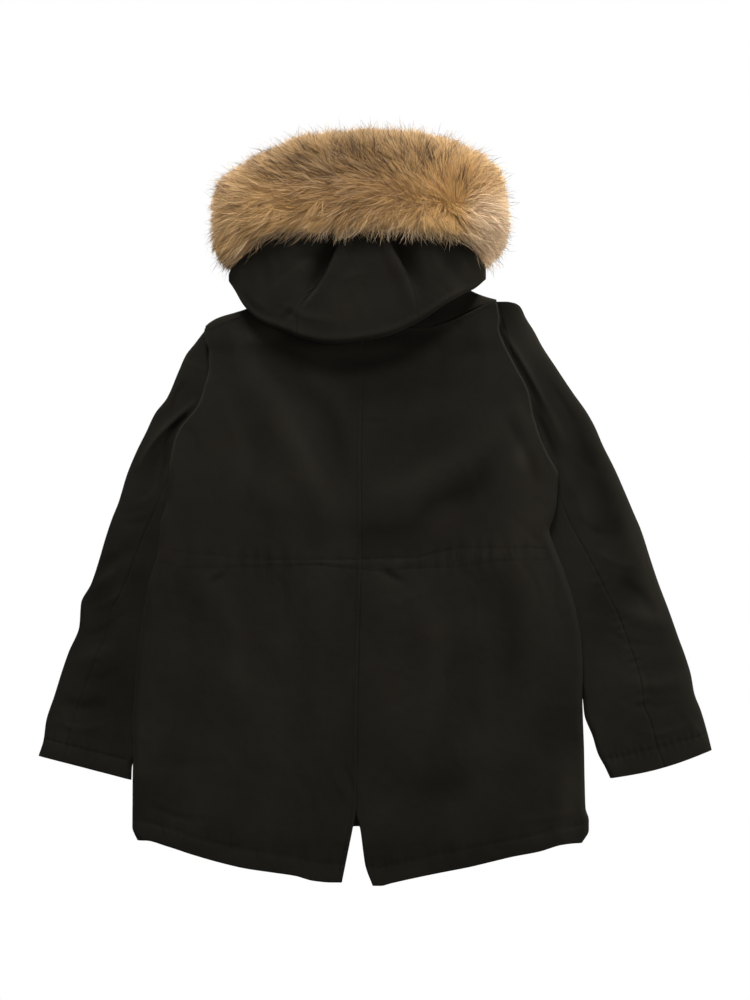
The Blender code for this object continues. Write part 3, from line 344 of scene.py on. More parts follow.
# Where the hood's cloth ends under the fur: x, y.
HOOD_HIGH = (
    (-175.5, 276), (-171.5, 284), (-167, 291), (-152, 300), (-140, 311), (-125, 325),
    (-100, 332), (-60, 331), (0, 333), (40, 332), (80, 329), (104, 322), (116, 308),
    (124, 296), (131, 290),
)
HOOD_FLOOR = 15.2  # the hood's lower layer lies over the back from this height
HOOD_LAYER = 26.0  # how far that layer runs back under the fold
HOOD_EDGE_HIGH = 22.5
FOLD_ROUND = (4.0, 7.0)  # the fold's radius at the hood's sides, and its growth inwards
FOLD_SQUARE = 0.6  # 1 makes the lower fold round, and less makes it flatter on top
# The hood's crown from its lower fold to the fur: share of the way, height.
HOOD_CROWN = ((0.0, 33.0), (0.2, 39.0), (0.45, 46.0), (0.7, 51.0), (1.0, 52.0))
# Seams between the hood's panels: y, left seam, right seam.
HOOD_SEAMS = (
    (194, -94, 50), (212, -95, 50), (233, -91, 48), (254, -75, 44), (272, -61, 36),
    (293, -52, 25), (317, -49, 12), (335, -49, 6),
)
# The hood's middle lobe stands up along two crisp edges: depth of the pleat beside it,
# width of its steep side and of its gentle one, on which side of the edge it lies, then
# the edge from the fur down.
HOOD_PLEATS = (
    (
        15.0, 3.5, 20.0, -1,
        (-42, 334), (-46, 306), (-52, 290), (-62, 268), (-76, 247), (-92, 226),
    ),
    (
        14.0, 3.5, 17.0, 1,
        (6, 334), (18, 306), (30, 284), (38, 264), (44, 242), (48, 230),
    ),
)
# Crests and small troughs of the hood, as the folds of the back.
HOOD_FOLDS = (
    (1.8, 7, (-38, 330), (-40, 304), (-54, 270), (-70, 245)),
    (1.8, 7, (0, 330), (12, 304), (30, 268), (38, 244)),
    (-2.2, 6, (-96, 289), (-80, 296), (-64, 301)),
    (-1.0, 6, (-110, 224), (-104, 228), (-96, 226)),
    (-1.8, 9, (78, 300), (92, 276), (104, 262)),
    (-1.8, 9, (-140, 306), (-134, 280), (-130, 256)),
)
HOOD_CREASES = (
    (-0.7, 3.5, (-112, 272), (-98, 282), (-84, 290), (-70, 294)),
    (0.8, 2.6, (-114, 226), (-108, 232), (-104, 238)),
    (-0.8, 2.6, (-110, 218), (-102, 228), (-98, 236)),
    (0.9, 5, (-108, 238), (-80, 224), (-50, 220)),
    (-0.8, 4, (-122, 300), (-114, 282), (-116, 262)),
    (0.9, 5, (64, 316), (66, 296), (76, 276)),
    (-0.8, 4, (100, 302), (110, 288), (116, 276)),
    (0.8, 4, (-156, 262), (-146, 246), (-128, 232)),
)
# Where the hidden layers in the hood come down to the surface: x, y.
LINING_STEP = (
    (-160, 262), (-112, 262), (-80, 266), (-75, 264), (-68, 247), (-58, 240), (-44, 233),
    (-16, 229), (16, 228), (30, 232), (35, 244), (39, 266), (44, 272), (84, 277), (140, 277),
)
LINING = (-150.0, 103.0)  # x of the two ends of those layers

# The fur, from its left end over the top to its right end: outer x, y, inner x, y,
# height, height of the inner wall, how far the fur leans over the hood's cloth.
FUR = (
    (-167, 254, -154, 255, 11.0, 5.0, 0.0),
    (-172, 268, -154, 269, 13.6, 7.0, 0.0),
    (-174, 281, -154, 283, 14.4, 8.0, 0.0),
    (-181, 292, -154, 294, 15.0, 9.0, 0.0),
    (-196, 308, -152, 301, 32.0, 25.0, 2.0),
    (-199, 334, -145, 315, 52.0, 38.0, 5.0),
    (-199, 362, -136, 324, 64.0, 48.0, 7.0),
    (-194, 386, -124, 331, 70.0, 52.0, 8.0),
    (-170, 409, -106, 335, 73.0, 54.0, 9.0),
    (-130, 431, -84, 336, 75.0, 54.5, 9.0),
    (-86, 449, -58, 335, 76.0, 54.5, 9.0),
    (-42, 454, -30, 336, 77.0, 54.5, 9.0),
    (1, 456, 0, 336, 77.0, 54.5, 9.0),
    (48, 453, 28, 336, 77.0, 54.5, 9.0),
    (92, 442, 56, 334, 76.0, 54.5, 9.0),
    (128, 426, 80, 333, 74.0, 54.0, 9.0),
    (149, 408, 99, 328, 71.0, 53.0, 8.0),
    (158, 377, 112, 321, 66.0, 50.0, 7.0),
    (161, 340, 120, 311, 54.0, 40.0, 5.0),
    (157, 314, 126, 303, 34.0, 26.0, 2.0),
    (141, 296, 112, 297, 15.0, 9.0, 0.0),
    (130, 283, 107, 284, 14.0, 8.0, 0.0),
    (126, 270, 107, 271, 12.0, 6.0, 0.0),
)
# One section of the fur from the inner wall over the top: share of the way across,
# share of the height.
FUR_SECTION = (
    (0.12, 0.95), (0.30, 1.00), (0.50, 0.99), (0.68, 0.93), (0.84, 0.78), (0.95, 0.56),
    (1.00, 0.32), (0.97, 0.10), (0.90, 0.0),
)
FUR_STATIONS = 160
FUR_SHRINK = 0.13  # the fur's body is this much smaller than its reach
CAMERA_HIGH = 2.405
CAMERA_AT = (-1.2, 7.8)
# Which way the hair lies as seen from above: x, y, degrees from x towards y.
FUR_FLOW = (
    (-193, 384, 172), (-181, 403, 152), (-152, 427, 145), (-132, 433, 124), (-105, 439, 110),
    (-83, 451, 96), (-58, 433, 96), (-34, 433, 103), (-24, 442, 72), (-101, 415, 138),
    (-144, 403, 150), (-116, 395, 147), (-168, 384, 163), (-66, 400, 140), (-53, 410, 116),
    (-46, 384, 164), (-83, 378, 168), (-46, 366, 196), (-107, 366, 178), (-144, 360, 180),
    (-181, 354, 184), (-119, 350, 200), (-168, 329, 210), (-187, 311, 222), (-150, 329, 225),
    (-132, 331, 233), (-107, 335, 252), (-83, 342, 221), (-70, 331, 255), (-46, 338, 268),
    (-21, 335, 270), (-176, 292, 243), (-7, 451, 76), (4, 445, 88), (26, 451, 93),
    (60, 439, 66), (-2, 423, 101), (24, 427, 94), (67, 427, 62), (94, 436, 54),
    (110, 415, 43), (134, 421, 40), (128, 394, 27), (152, 396, 24), (134, 376, 8),
    (156, 372, 0), (98, 366, 84), (107, 379, 44), (90, 392, 94), (92, 378, 102),
    (74, 380, 118), (66, 394, 116), (50, 384, 124), (84, 366, 112), (60, 372, 126),
    (38, 378, 140), (48, 406, 108), (30, 395, 134), (18, 409, 118), (-1, 395, 160),
    (-13, 384, 176), (12, 384, 165), (-1, 371, 197), (12, 361, 212), (24, 370, 190),
    (32, 360, 258), (44, 358, 262), (54, 352, 268), (70, 350, 280), (-13, 347, 262),
    (6, 341, 287), (24, 344, 276), (48, 341, 272), (67, 339, 283), (84, 344, 298),
    (85, 335, 303), (97, 329, 314), (116, 319, 320), (100, 342, 314), (118, 352, 8),
    (112, 364, 36), (128, 363, 20), (134, 341, 344), (152, 354, 356), (152, 323, 335),
    (146, 305, 315), (134, 292, 292),
)
FLOW_NEAR = 7.5  # a place follows the directions given within about this distance
# How far the hair reaches as seen from above, round its outside and back along the lip
# over the hood: x, y.
FUR_REACH = (
    (-178, 281), (-188, 290), (-195, 305), (-199, 334), (-199, 362), (-194, 386),
    (-178, 403), (-145, 424), (-91, 448), (-42, 454), (1, 456), (54, 452), (92, 442),
    (131, 424), (150, 407), (158, 377), (161, 340), (156, 314), (147, 298), (136, 286),
    (132, 296), (133, 309), (109, 324), (67, 330), (41, 332), (8, 333), (-1, 339),
    (-10, 334), (-42, 331), (-89, 332), (-125, 327), (-155, 316), (-171, 301), (-175, 290),
)
# Clumps with dark tips: x, y, radius, share of dark hairs.
DARK_CLUMPS = (
    (-22, 428, 13, 0.64), (-27, 441, 8, 0.50), (-42, 432, 10, 0.48), (-2, 430, 10, 0.54),
    (12, 437, 8, 0.30), (62, 424, 13, 0.60), (73, 418, 9, 0.46), (56, 442, 8, 0.30),
    (104, 409, 12, 0.26), (120, 415, 10, 0.22), (-104, 415, 12, 0.54), (-96, 423, 8, 0.40),
    (-148, 416, 10, 0.50), (-140, 404, 10, 0.30), (-115, 394, 8, 0.40), (-130, 381, 9, 0.26),
    (-66, 400, 6, 0.50), (-53, 406, 7, 0.50), (-126, 431, 10, 0.36), (-190, 384, 12, 0.34),
    (-186, 402, 10, 0.36), (-36, 365, 10, 0.20), (-120, 330, 8, 0.30), (-154, 320, 8, 0.30),
    (140, 404, 12, 0.26), (-186, 292, 14, 0.40),
)
# Where the fur is darker or lighter as a whole, partly its own tone and partly painted light and
# shade: x, y, reach along x and y, how much.
FUR_SHADES = (
    (-48, 408, 82, 55, -0.35), (78, 392, 48, 26, 0.30), (96, 357, 24, 20, 0.22),
    (34, 448, 34, 20, -0.13), (-38, 448, 26, 20, -0.13),
)

# Clouds of the cloth's colour: scale, detail, strength.
CLOTH_CLOUDS = ((9.0, 3.0, 0.55), (42.0, 3.0, 0.22), (1400.0, 2.0, 0.16))
CLOTH_DARK = (0.0078, 0.0071, 0.0056)
CLOTH_LIGHT = (0.0216, 0.0194, 0.0146)
BROWN_CAST = (1.05, 0.97, 0.96)
OLIVE_CAST = (0.96, 1.02, 0.98)
LINING_DARK = (0.0082, 0.0078, 0.0072)
LINING_LIGHT = (0.0130, 0.0122, 0.0112)
THREAD = (0.0112, 0.0100, 0.0078)
# The underlayer's colour: the underfur's own darker brown, darkened further as painted shade in
# the gaps between the hairs.
FUR_SKIN_SHADED = (0.220, 0.120, 0.048)
SHADED_UP_TO = 0.297  # y in metres below which the trim's ends are painted dark as painted shade under the hood
# How dark that painted shade leaves the skin.
SHADE_DARKNESS = 0.10
CAMEL = (0.560, 0.312, 0.098)
CAMEL_LIGHT = (0.720, 0.478, 0.190)
CAMEL_DEEP = (0.400, 0.190, 0.050)
CAMEL_RED = (0.445, 0.208, 0.052)
CAMEL_CREAM = (0.830, 0.620, 0.400)
FUR_GREY = (0.330, 0.225, 0.150)
FUR_BROWN = (0.105, 0.053, 0.031)
FUR_BLACK = (0.019, 0.012, 0.011)
FUR_PALE = (0.800, 0.640, 0.440)
# Painted light: the colour that the wisps over the hood are whitened towards, as if lit in the
# fur's shadow.
FUR_WISP_LIT = (0.950, 0.860, 0.720)


# ------------------------------------------------------------------ curves and folds


def smooth(keys, values, at):
    """Values between the keys, along a cubic that never overshoots."""
    keys = np.asarray(keys, float)
    values = np.asarray(values, float)
    step = np.diff(keys)
    slope = np.diff(values) / step
    both = slope[:-1] * slope[1:]
    tangent = np.zeros(len(keys))
    tangent[0] = slope[0]
    tangent[-1] = slope[-1]
    total = np.where(both > 0, slope[:-1] + slope[1:], 1.0)
    tangent[1:-1] = np.where(both > 0, 2 * both / total, 0.0)
    at = np.clip(at, keys[0], keys[-1])
    i = np.clip(np.searchsorted(keys, at, side="right") - 1, 0, len(step) - 1)
    t = (at - keys[i]) / step[i]
    return (
        values[i] * (1 + 2 * t) * (1 - t) ** 2
        + tangent[i] * step[i] * t * (1 - t) ** 2
        + values[i + 1] * t * t * (3 - 2 * t)
        + tangent[i + 1] * step[i] * t * t * (t - 1)
    )


def column(table, at, which=1):
    """One column of a table as a smooth function of the first one."""
    table = np.asarray(table, float)
    return smooth(table[:, 0], table[:, which], at)


def ease(t):
    """1 at 0, 0 at 1 and beyond, level at both ends."""
    return 0.5 + 0.5 * np.cos(np.pi * np.clip(t, 0.0, 1.0))


def bump(away, width):
    """A soft hump of height 1."""
    return np.exp(-((away / width) ** 2))


def xyz(x, y, z):
    """Points from their coordinates, of which some may be single numbers."""
    return np.stack(np.broadcast_arrays(x, y, z), axis=-1)


def path(points, count):
    """Points evenly along a smooth line through the given ones."""
    points = np.asarray(points, float)
    run = np.linalg.norm(np.diff(points[:, :2], axis=0), axis=1)
    run = np.concatenate([[0], np.cumsum(run)])
    at = np.linspace(0, run[-1], count)
    return np.stack([smooth(run, points[:, k], at) for k in range(points.shape[1])], axis=1)


FOLD_POINTS = 50


def folds(table, x, y):
    """Height of a table of folds: each a soft ridge or trough that dies out at its ends."""
    height = np.zeros(np.shape(x))
    for high, width, *points in table:
        line = path(points, FOLD_POINTS)
        reach = 3 * width
        low_x, low_y = line.min(axis=0) - reach
        high_x, high_y = line.max(axis=0) + reach
        near = (x > low_x) & (x < high_x) & (y > low_y) & (y < high_y)
        if not near.any():
            continue
        away = np.hypot(x[near][:, None] - line[:, 0], y[near][:, None] - line[:, 1])
        along = np.argmin(away, axis=1) / (FOLD_POINTS - 1)
        fade = np.sin(np.pi * (14 * along + 1.5) / 17) ** 0.7
        height[near] += high * fade * bump(away.min(axis=1), width)
    return height


def drift(x, y, size, seed):
    """Smooth random unevenness from -1 to 1, with patches of about this size."""
    random = np.random.default_rng(seed)
    total = np.zeros(np.shape(x))
    for _ in range(7):
        angle = random.uniform(0, math.tau)
        pitch = math.tau / (size * random.uniform(0.9, 2.2))
        phase = random.uniform(0, math.tau)
        total = total + np.sin(pitch * (x * math.cos(angle) + y * math.sin(angle)) + phase)
    return np.clip(total / 3.5, -1, 1)


def scattered(seed, count, box, length, width, high):
    """A table of small creases at random in a box: low x, low y, high x, high y."""
    random = np.random.default_rng(seed)
    low_x, low_y, high_x, high_y = box
    made = []
    for _ in range(count):
        at = np.array([random.uniform(low_x, high_x), random.uniform(low_y, high_y)])
        angle = random.normal(math.pi / 2, 0.75)
        half = random.uniform(*length) / 2
        along = np.array([math.cos(angle), math.sin(angle)]) * half
        bow = np.array([-along[1], along[0]]) * random.uniform(-0.25, 0.25)
        sign = random.choice([-1, 1])
        made.append((
            sign * random.uniform(*high), random.uniform(*width),
            tuple(at - along), tuple(at + bow), tuple(at + along),
        ))
    return tuple(made)


BODY_SCATTER = scattered(11, 90, (-290, -420, 250, 190), (26, 80), (4, 9), (0.15, 0.5))
SLEEVE_SCATTER = (
    scattered(12, 34, (-390, -290, -210, 200), (20, 60), (3, 7), (0.15, 0.5))
    + scattered(13, 34, (190, -290, 390, 220), (20, 60), (3, 7), (0.15, 0.5))
)
HOOD_SCATTER = scattered(14, 26, (-165, 200, 128, 325), (18, 50), (3, 7), (0.2, 0.6))


# ------------------------------------------------------------------ materials


def new_material(name):
    """A material and its node tree."""
    material = bpy.data.materials.new(name)
    material.use_nodes = True
    return material, material.node_tree


def add_node(tree, kind, settings=(), links=()):
    """A node with some inputs set and some linked: both are (input, value or socket)."""
    node = tree.nodes.new(kind)
    for key, value in settings:
        if isinstance(key, str) and hasattr(node, key):
            setattr(node, key, value)
        else:
            node.inputs[key].default_value = value
    for key, source in links:
        tree.links.new(source, node.inputs[key])
    return node


def mixed_colour(tree, factor, dark, light):
    """A ramp of two colours."""
    ramp = add_node(tree, "ShaderNodeValToRGB", links=[("Fac", factor)])
    ramp.color_ramp.elements[0].color = (*dark, 1.0)
    ramp.color_ramp.elements[1].color = (*light, 1.0)
    return ramp.outputs["Color"]


def noise(tree, place, scale, detail, rough=0.5):
    """Smooth random values from 0 to 1 by place."""
    return add_node(
        tree, "ShaderNodeTexNoise",
        [("Scale", scale), ("Detail", detail), ("Roughness", rough)],
        [("Vector", place)],
    ).outputs["Fac"]


def math_node(tree, operation, a, b):
    """The result of a sum and the like, where a and b are sockets or numbers."""
    node = tree.nodes.new("ShaderNodeMath")
    node.operation = operation
    for key, value in enumerate((a, b)):
        if isinstance(value, (int, float)):
            node.inputs[key].default_value = value
        else:
            tree.links.new(value, node.inputs[key])
    return node.outputs[0]


def set_inputs(node, settings):
    """Sets a node's own sockets."""
    for key, value in settings:
        node.inputs[key].default_value = value


def cloth_material(name, dark, light, weave=1.0):
    """Brushed cotton twill: cloudy colour, lighter on its ridges and darker in its creases, by an
    attribute that holds wear and painted light and shade.
    """
    material, tree = new_material(name)
    shader = tree.nodes["Principled BSDF"]
    place = add_node(tree, "ShaderNodeTexCoord").outputs["Object"]
    wear_and_painted_light = add_node(tree, "ShaderNodeAttribute", [("attribute_name", "wear_and_painted_light")]).outputs["Fac"]
    # Painted light and shade: the attribute lightens ridges, lit rims and folds, and darkens
    # creases and the cloth under the hood.
    tone = math_node(tree, "SUBTRACT", wear_and_painted_light, 0.12)
    for scale, detail, strength in CLOTH_CLOUDS:
        cloud = noise(tree, place, scale, detail)
        tone = math_node(tree, "ADD", tone, math_node(tree, "MULTIPLY", cloud, strength))
    plain = mixed_colour(tree, tone, dark, light)
    # The dye drifts between olive and brown. The mix node's inputs 6 and 7 are its colours.
    cast = math_node(tree, "MULTIPLY", noise(tree, place, 17.0, 5.0, 0.65), 2.4)
    cast = mixed_colour(tree, math_node(tree, "SUBTRACT", cast, 0.7), OLIVE_CAST, BROWN_CAST)
    dyed = add_node(
        tree, "ShaderNodeMix", [("data_type", "RGBA"), ("blend_type", "MULTIPLY"), (0, 1.0)],
        [(6, plain), (7, cast)],
    )
    tree.links.new(dyed.outputs[2], shader.inputs["Base Color"])
    # Twill lines 0.8 mm apart, and a soft crumple of the cloth.
    twill = add_node(
        tree, "ShaderNodeMapping", [("Rotation", (0.0, 0.0, 1.1))], [("Vector", place)],
    )
    lines = add_node(
        tree, "ShaderNodeTexWave",
        [("Scale", 390.0), ("Distortion", 1.2), ("Detail", 1.0)],
        [("Vector", twill.outputs["Vector"])],
    ).outputs["Fac"]
    crumple = noise(tree, place, 70.0, 5.0, 0.55)
    fine = add_node(
        tree, "ShaderNodeBump", [("Strength", 0.45 * weave), ("Distance", 0.0003)],
        [("Height", lines)],
    )
    relief = add_node(
        tree, "ShaderNodeBump", [("Strength", 0.35), ("Distance", 0.0016)],
        [("Height", crumple), ("Normal", fine.outputs["Normal"])],
    )
    tree.links.new(relief.outputs["Normal"], shader.inputs["Normal"])
    set_inputs(shader, [("Roughness", 0.88), ("Specular IOR Level", 0.04)])
    set_inputs(shader, [("Sheen Weight", 0.01), ("Sheen Roughness", 0.5)])
    return material


def thread_material():
    """Matt sewing thread in the cloth's colour."""
    material, tree = new_material("thread")
    shader = tree.nodes["Principled BSDF"]
    place = add_node(tree, "ShaderNodeTexCoord").outputs["Object"]
    ply = noise(tree, place, 2500.0, 1.0)
    darker = tuple(0.6 * c for c in THREAD)
    tree.links.new(mixed_colour(tree, ply, darker, THREAD), shader.inputs["Base Color"])
    set_inputs(shader, [("Roughness", 0.6), ("Specular IOR Level", 0.08)])
    return material


def fur_material(name, colour=None):
    """Hair that takes each strand's own colour, or the skin that it grows from."""
    material, tree = new_material(name)
    shader = tree.nodes["Principled BSDF"]
    if colour is None:
        own = add_node(tree, "ShaderNodeAttribute", [("attribute_name", "tone")])
        tree.links.new(own.outputs["Color"], shader.inputs["Base Color"])
    else:
        place = add_node(tree, "ShaderNodeTexCoord").outputs["Object"]
        cloud = noise(tree, place, 160.0, 4.0, 0.6)
        darker = tuple(0.55 * c for c in colour)
        # The trim's two ends lie beneath the hood, where the skin is painted dark as painted
        # shade.
        along = add_node(tree, "ShaderNodeSeparateXYZ", links=[("Vector", place)]).outputs["Y"]
        outside_shade = math_node(tree, "GREATER_THAN", along, SHADED_UP_TO)
        outside_shade = math_node(tree, "MAXIMUM", outside_shade, SHADE_DARKNESS)
        dyed = add_node(
            tree, "ShaderNodeVectorMath", [("operation", "SCALE")],
            [("Vector", mixed_colour(tree, cloud, darker, colour)), ("Scale", outside_shade)],
        )
        tree.links.new(dyed.outputs["Vector"], shader.inputs["Base Color"])
    set_inputs(shader, [("Roughness", 0.62), ("Specular IOR Level", 0.25)])
    return material


# ------------------------------------------------------------------ meshes


def linked(name, data):
    """A new object in the scene."""
    made = bpy.data.objects.new(name, data)
    bpy.context.scene.collection.objects.link(made)
    return made


def mesh_object(name, vertices, faces, material, wear_and_painted_light=None):
    """A closed smooth mesh from points in millimetres, with how much lighter or darker each point
    is painted, for wear and as painted light and shade.
    """
    mesh = bpy.data.meshes.new(name)
    mesh.from_pydata(np.asarray(vertices, float) * MM, [], faces)
    if wear_and_painted_light is not None:
        layer = mesh.attributes.new("wear_and_painted_light", "FLOAT", "POINT")
        layer.data.foreach_set("value", np.asarray(wear_and_painted_light, np.float32))
    shape = bmesh.new()
    shape.from_mesh(mesh)
    bmesh.ops.recalc_face_normals(shape, faces=shape.faces)
    if shape.calc_volume(signed=True) < 0:
        bmesh.ops.reverse_faces(shape, faces=shape.faces)
    shape.to_mesh(mesh)
    shape.free()
    mesh.shade_smooth()
    mesh.materials.append(material)
    return linked(name, mesh)


def rim(outer, inner, kept):
    """Faces between an outer line of vertices and an inner one that keeps some places."""
    faces = []
    for k in range(len(kept) - 1):
        for j in range(kept[k], kept[k + 1]):
            faces.append((outer[j], outer[j + 1], inner[k]))
        faces.append((outer[kept[k + 1]], inner[k + 1], inner[k]))
    return faces


def grid_faces(grid):
    """Faces between the neighbours in a grid of vertex numbers."""
    corners = (grid[:-1, :-1], grid[:-1, 1:], grid[1:, 1:], grid[1:, :-1])
    return list(map(tuple, np.stack([c.ravel() for c in corners], axis=1).tolist()))


def wall(name, outer, inner, material, rows=None, columns=None, wear_and_painted_light=None):
    """A cloth wall between two grids. The inside keeps only the given rows and columns."""
    outer = np.asarray(outer, float)
    high, wide = outer.shape[:2]
    rows = rows or range(high)
    columns = columns or range(wide)
    inner = np.asarray(inner, float)[np.ix_(rows, columns)]
    out = np.arange(high * wide).reshape(high, wide)
    ins = np.arange(inner.shape[0] * inner.shape[1]).reshape(inner.shape[:2]) + out.size
    faces = grid_faces(out) + grid_faces(ins)
    for end in (0, -1):
        faces += rim(out[end].tolist(), ins[end].tolist(), columns)
    for end in (0, -1):
        faces += rim(out[:, end].tolist(), ins[:, end].tolist(), rows)
    vertices = np.concatenate([outer.reshape(-1, 3), inner.reshape(-1, 3)])
    worn_and_shaded = np.zeros(len(vertices))
    if wear_and_painted_light is not None:
        worn_and_shaded[: out.size] = np.asarray(wear_and_painted_light).ravel()
    return mesh_object(name, vertices, faces, material, worn_and_shaded)


def cut_wall(name, outer, inner, cells, material, wear_and_painted_light):
    """A cloth wall that has only some cells of its two grids."""
    high, wide = outer.shape[:2]
    out = np.arange(high * wide).reshape(high, wide)
    ins = out + out.size
    faces = []
    edges = {}
    for i, j in np.argwhere(cells).tolist():
        ring = ((i, j), (i, j + 1), (i + 1, j + 1), (i + 1, j))
        faces.append(tuple(int(out[c]) for c in ring))
        faces.append(tuple(int(ins[c]) for c in ring))
        for a, b in zip(ring, ring[1:] + ring[:1]):
            key = (min(a, b), max(a, b))
            edges[key] = edges.get(key, 0) + 1
    for (a, b), count in edges.items():
        if count == 1:
            faces.append((int(out[a]), int(out[b]), int(ins[b]), int(ins[a])))
    vertices = np.concatenate([outer.reshape(-1, 3), inner.reshape(-1, 3)])
    used = sorted({v for face in faces for v in face})
    place = {v: k for k, v in enumerate(used)}
    faces = [tuple(place[v] for v in face) for face in faces]
    worn_and_shaded = np.concatenate([wear_and_painted_light.ravel(), np.zeros(out.size)])[used]
    return mesh_object(name, vertices[used], faces, material, worn_and_shaded)


def thinned(count, step, keep_last=0):
    """Every step-th index with the first, the last, and all of the last few."""
    kept = set(range(0, count, step)) | {count - 1}
    return sorted(kept | set(range(count - 1 - keep_last, count)))


def subdivided(rows, step):
    """The rows of a table with others between them, at most a step apart."""
    rows = np.asarray(rows, float)
    made = [rows[:1]]
    for a, b in zip(rows, rows[1:]):
        fine = CASING_STEP if CASING_ROWS[0] <= (a[0] + b[0]) / 2 <= CASING_ROWS[1] else step
        count = max(1, math.ceil(np.abs(b - a).max() / fine))
        made.append(a + (b - a) * (np.arange(1, count + 1) / count)[:, None])
    return np.concatenate(made)


def folded_edge(away, radius):
    """How far a surface drops where cloth is folded under at an edge."""
    inside = np.clip(1 - away / radius, 0, 1)
    return radius * (1 - np.sqrt(1 - inside**2))


# ------------------------------------------------------------------ the body


def edge_x(side, y):
    """x of the body's folded side."""
    return column(EDGE[side], y)


def sleeve_inner(side, y):
    """x of a sleeve's folded inner edge, most of it hidden under the body."""
    return column(SLEEVE_INNER, y, OF_SIDE[side])


def on_sleeve(side, y):
    """Share of the height at which the body's side lies on the sleeve."""
    return column(OFF_SLEEVE, y, OF_SIDE[side])


def lift(side, x, y, run):
    """How far the sleeve under it raises a panel."""
    inner = sleeve_inner(side, y)
    inside = side * (inner - x)
    return REST_ON_SLEEVE * on_sleeve(side, y) * ease((inside - LIFT_FLAT) / run)


def back_lift(side, x, y):
    """How far the back is raised: it slopes down gently, but soon at the shoulder."""
    run = SHOULDER_LIFT_RUN + (LIFT_RUN - SHOULDER_LIFT_RUN) * ease((y - 110) / 80)
    return lift(side, x, y, run)


def hood_low(x):
    """y of the hood's lower fold."""
    return column(HOOD_LOW, x)


def hood_high(x):
    """y where the hood's cloth ends under the fur."""
    return column(HOOD_HIGH, x)


def press_down(x, y, z, most):
    """Flattens what the hood lies on."""
    under = ease((hood_low(x) - 10.0 - y) / 12.0)
    return z - np.maximum(z - most, 0.0) * under


def body_top(side, x, y):
    """Outer surface of the back before its folds."""
    z = column(BODY_HEIGHT, y) + back_lift(side, x, y)
    return press_down(x, y, z, UNDER_HOOD)


def body_inside(side, x, y):
    """Inner surface of the back's cloth."""
    z = column(BODY_HEIGHT, y, 2) + back_lift(side, x, y)
    return press_down(x, y, z, UNDER_HOOD - WALL)


def gathers(x):
    """Ripple of the waist casing along x."""
    ripple = np.zeros(np.shape(x))
    for start, end, count, high in GATHERS:
        inside = (x >= start) & (x < end)
        t = (x - start) / (end - start)
        uneven = t + 0.05 * np.sin(math.tau * t + start)
        wave = np.cos(math.tau * count * uneven) * high
        ripple = np.where(inside, wave, ripple)
    return ripple


def casing_relief(x, y):
    """The waist tunnel between its two stitch rows, with its gathers."""
    upper = column(CASING, x)
    lower = column(CASING, x, 2)
    middle = (upper + lower) / 2
    half = (upper - lower) / 2
    away = np.abs(y - middle)
    rows = column(CASING_FORCE, x) * (0.72 + 0.4 * drift(x, y, 10.0, 33))
    tunnel = 0.5 * ease(away / half) - 0.75 * bump(away - half, 1.3)
    spread = ease((away - half) / CASING_REACH)
    lean = y - middle
    pleat = 0.0
    for pitch, long, wander, slant, high in CASING_PLEATS:
        turn = math.tau * x / pitch + wander * np.sin(x / long) + slant * lean
        pleat = pleat + high * np.sin(turn)
    small = column(CASING_FORCE, x, 2) * ease((away - half * 0.6) / 9.0)
    uneven = 0.5 + 0.5 * drift(x, y, 11.0, 34)
    return tunnel * rows + gathers(x) * spread + 0.6 * pleat * small * uneven


def hem_relief(x, y, edge_y):
    """The turned-up hem: a low roll under its stitch row, with puckers."""
    up = y - edge_y
    uneven = 0.6 + 0.4 * drift(x, y, 40.0, 35)
    roll = 0.5 * np.sin(np.pi * np.clip(up / HEM_TURN, 0, 1))
    row = -0.5 * bump(up - HEM_TURN, 1.4)
    pucker = 0.4 * uneven * np.cos(math.tau * x / HEM_PUCKERS + 1.3 * np.sin(x / 61.0))
    small = 0.3 * uneven * np.sin(math.tau * x / 8.6 + 2.2 * np.sin(x / 23.0) + 0.12 * up)
    near = ease((np.abs(up - HEM_TURN) - 1.0) / 11.0)
    return roll + row + pucker * ease(np.abs(up - HEM_TURN) / 26.0) + small * near


def centre_line(side):
    """y, x of the half's centre seam and, below it, of its flap's edge."""
    return FLAP[side] + CENTRE_BACK[1:]


def back_relief(side, x, y):
    """Folds, seams and gathers of the back's outer surface."""
    relief = folds(BACK_FOLDS, x, y) + folds(BACK_CREASES, x, y) + folds(BODY_SCATTER, x, y)
    relief = relief + casing_relief(x, y) + hem_relief(x, y, column(HEM[side], x))
    relief = relief + 0.35 * drift(x, y, 60.0, 3)
    end = np.minimum(hood_low(x), column(TOP[side], x)) - 16
    return relief * ease((y - end) / 14.0)


def back_height(side, x, y):
    """Outer surface of the back, with its folds and its seam's groove."""
    from_seam = np.abs(x - column(centre_line(side), y))
    top = column(TOP[side], x)
    hem = column(HEM[side], x)
    plain = 1 - 0.7 * ease((165 - y) / 60)
    ridge = 0.28 * bump(from_seam - 1.9, 1.3) * plain if side < 0 else 0.0
    groove = -0.65 * bump(from_seam, 0.9) * (0.75 + 0.25 * drift(x, y, 25.0, 36)) * plain
    shoulder = SHOULDER_SEAM[side] * (0.9 * bump(top - y - 1.3, 1.1) - 0.2 * bump(top - y, 0.6))
    z = body_top(side, x, y) + back_relief(side, x, y) + ridge + groove + shoulder
    z = z - folded_edge(y - hem, HEM_ROUND)
    # A flap's free edge is folded as the hem is.
    return z - folded_edge(from_seam, HEM_ROUND) * ease((y + 372) / 6)


def off_straight(y, share):
    """How far a line's points lie off the straight one between its ends."""
    return y - y[0] - (y[-1] - y[0]) * share


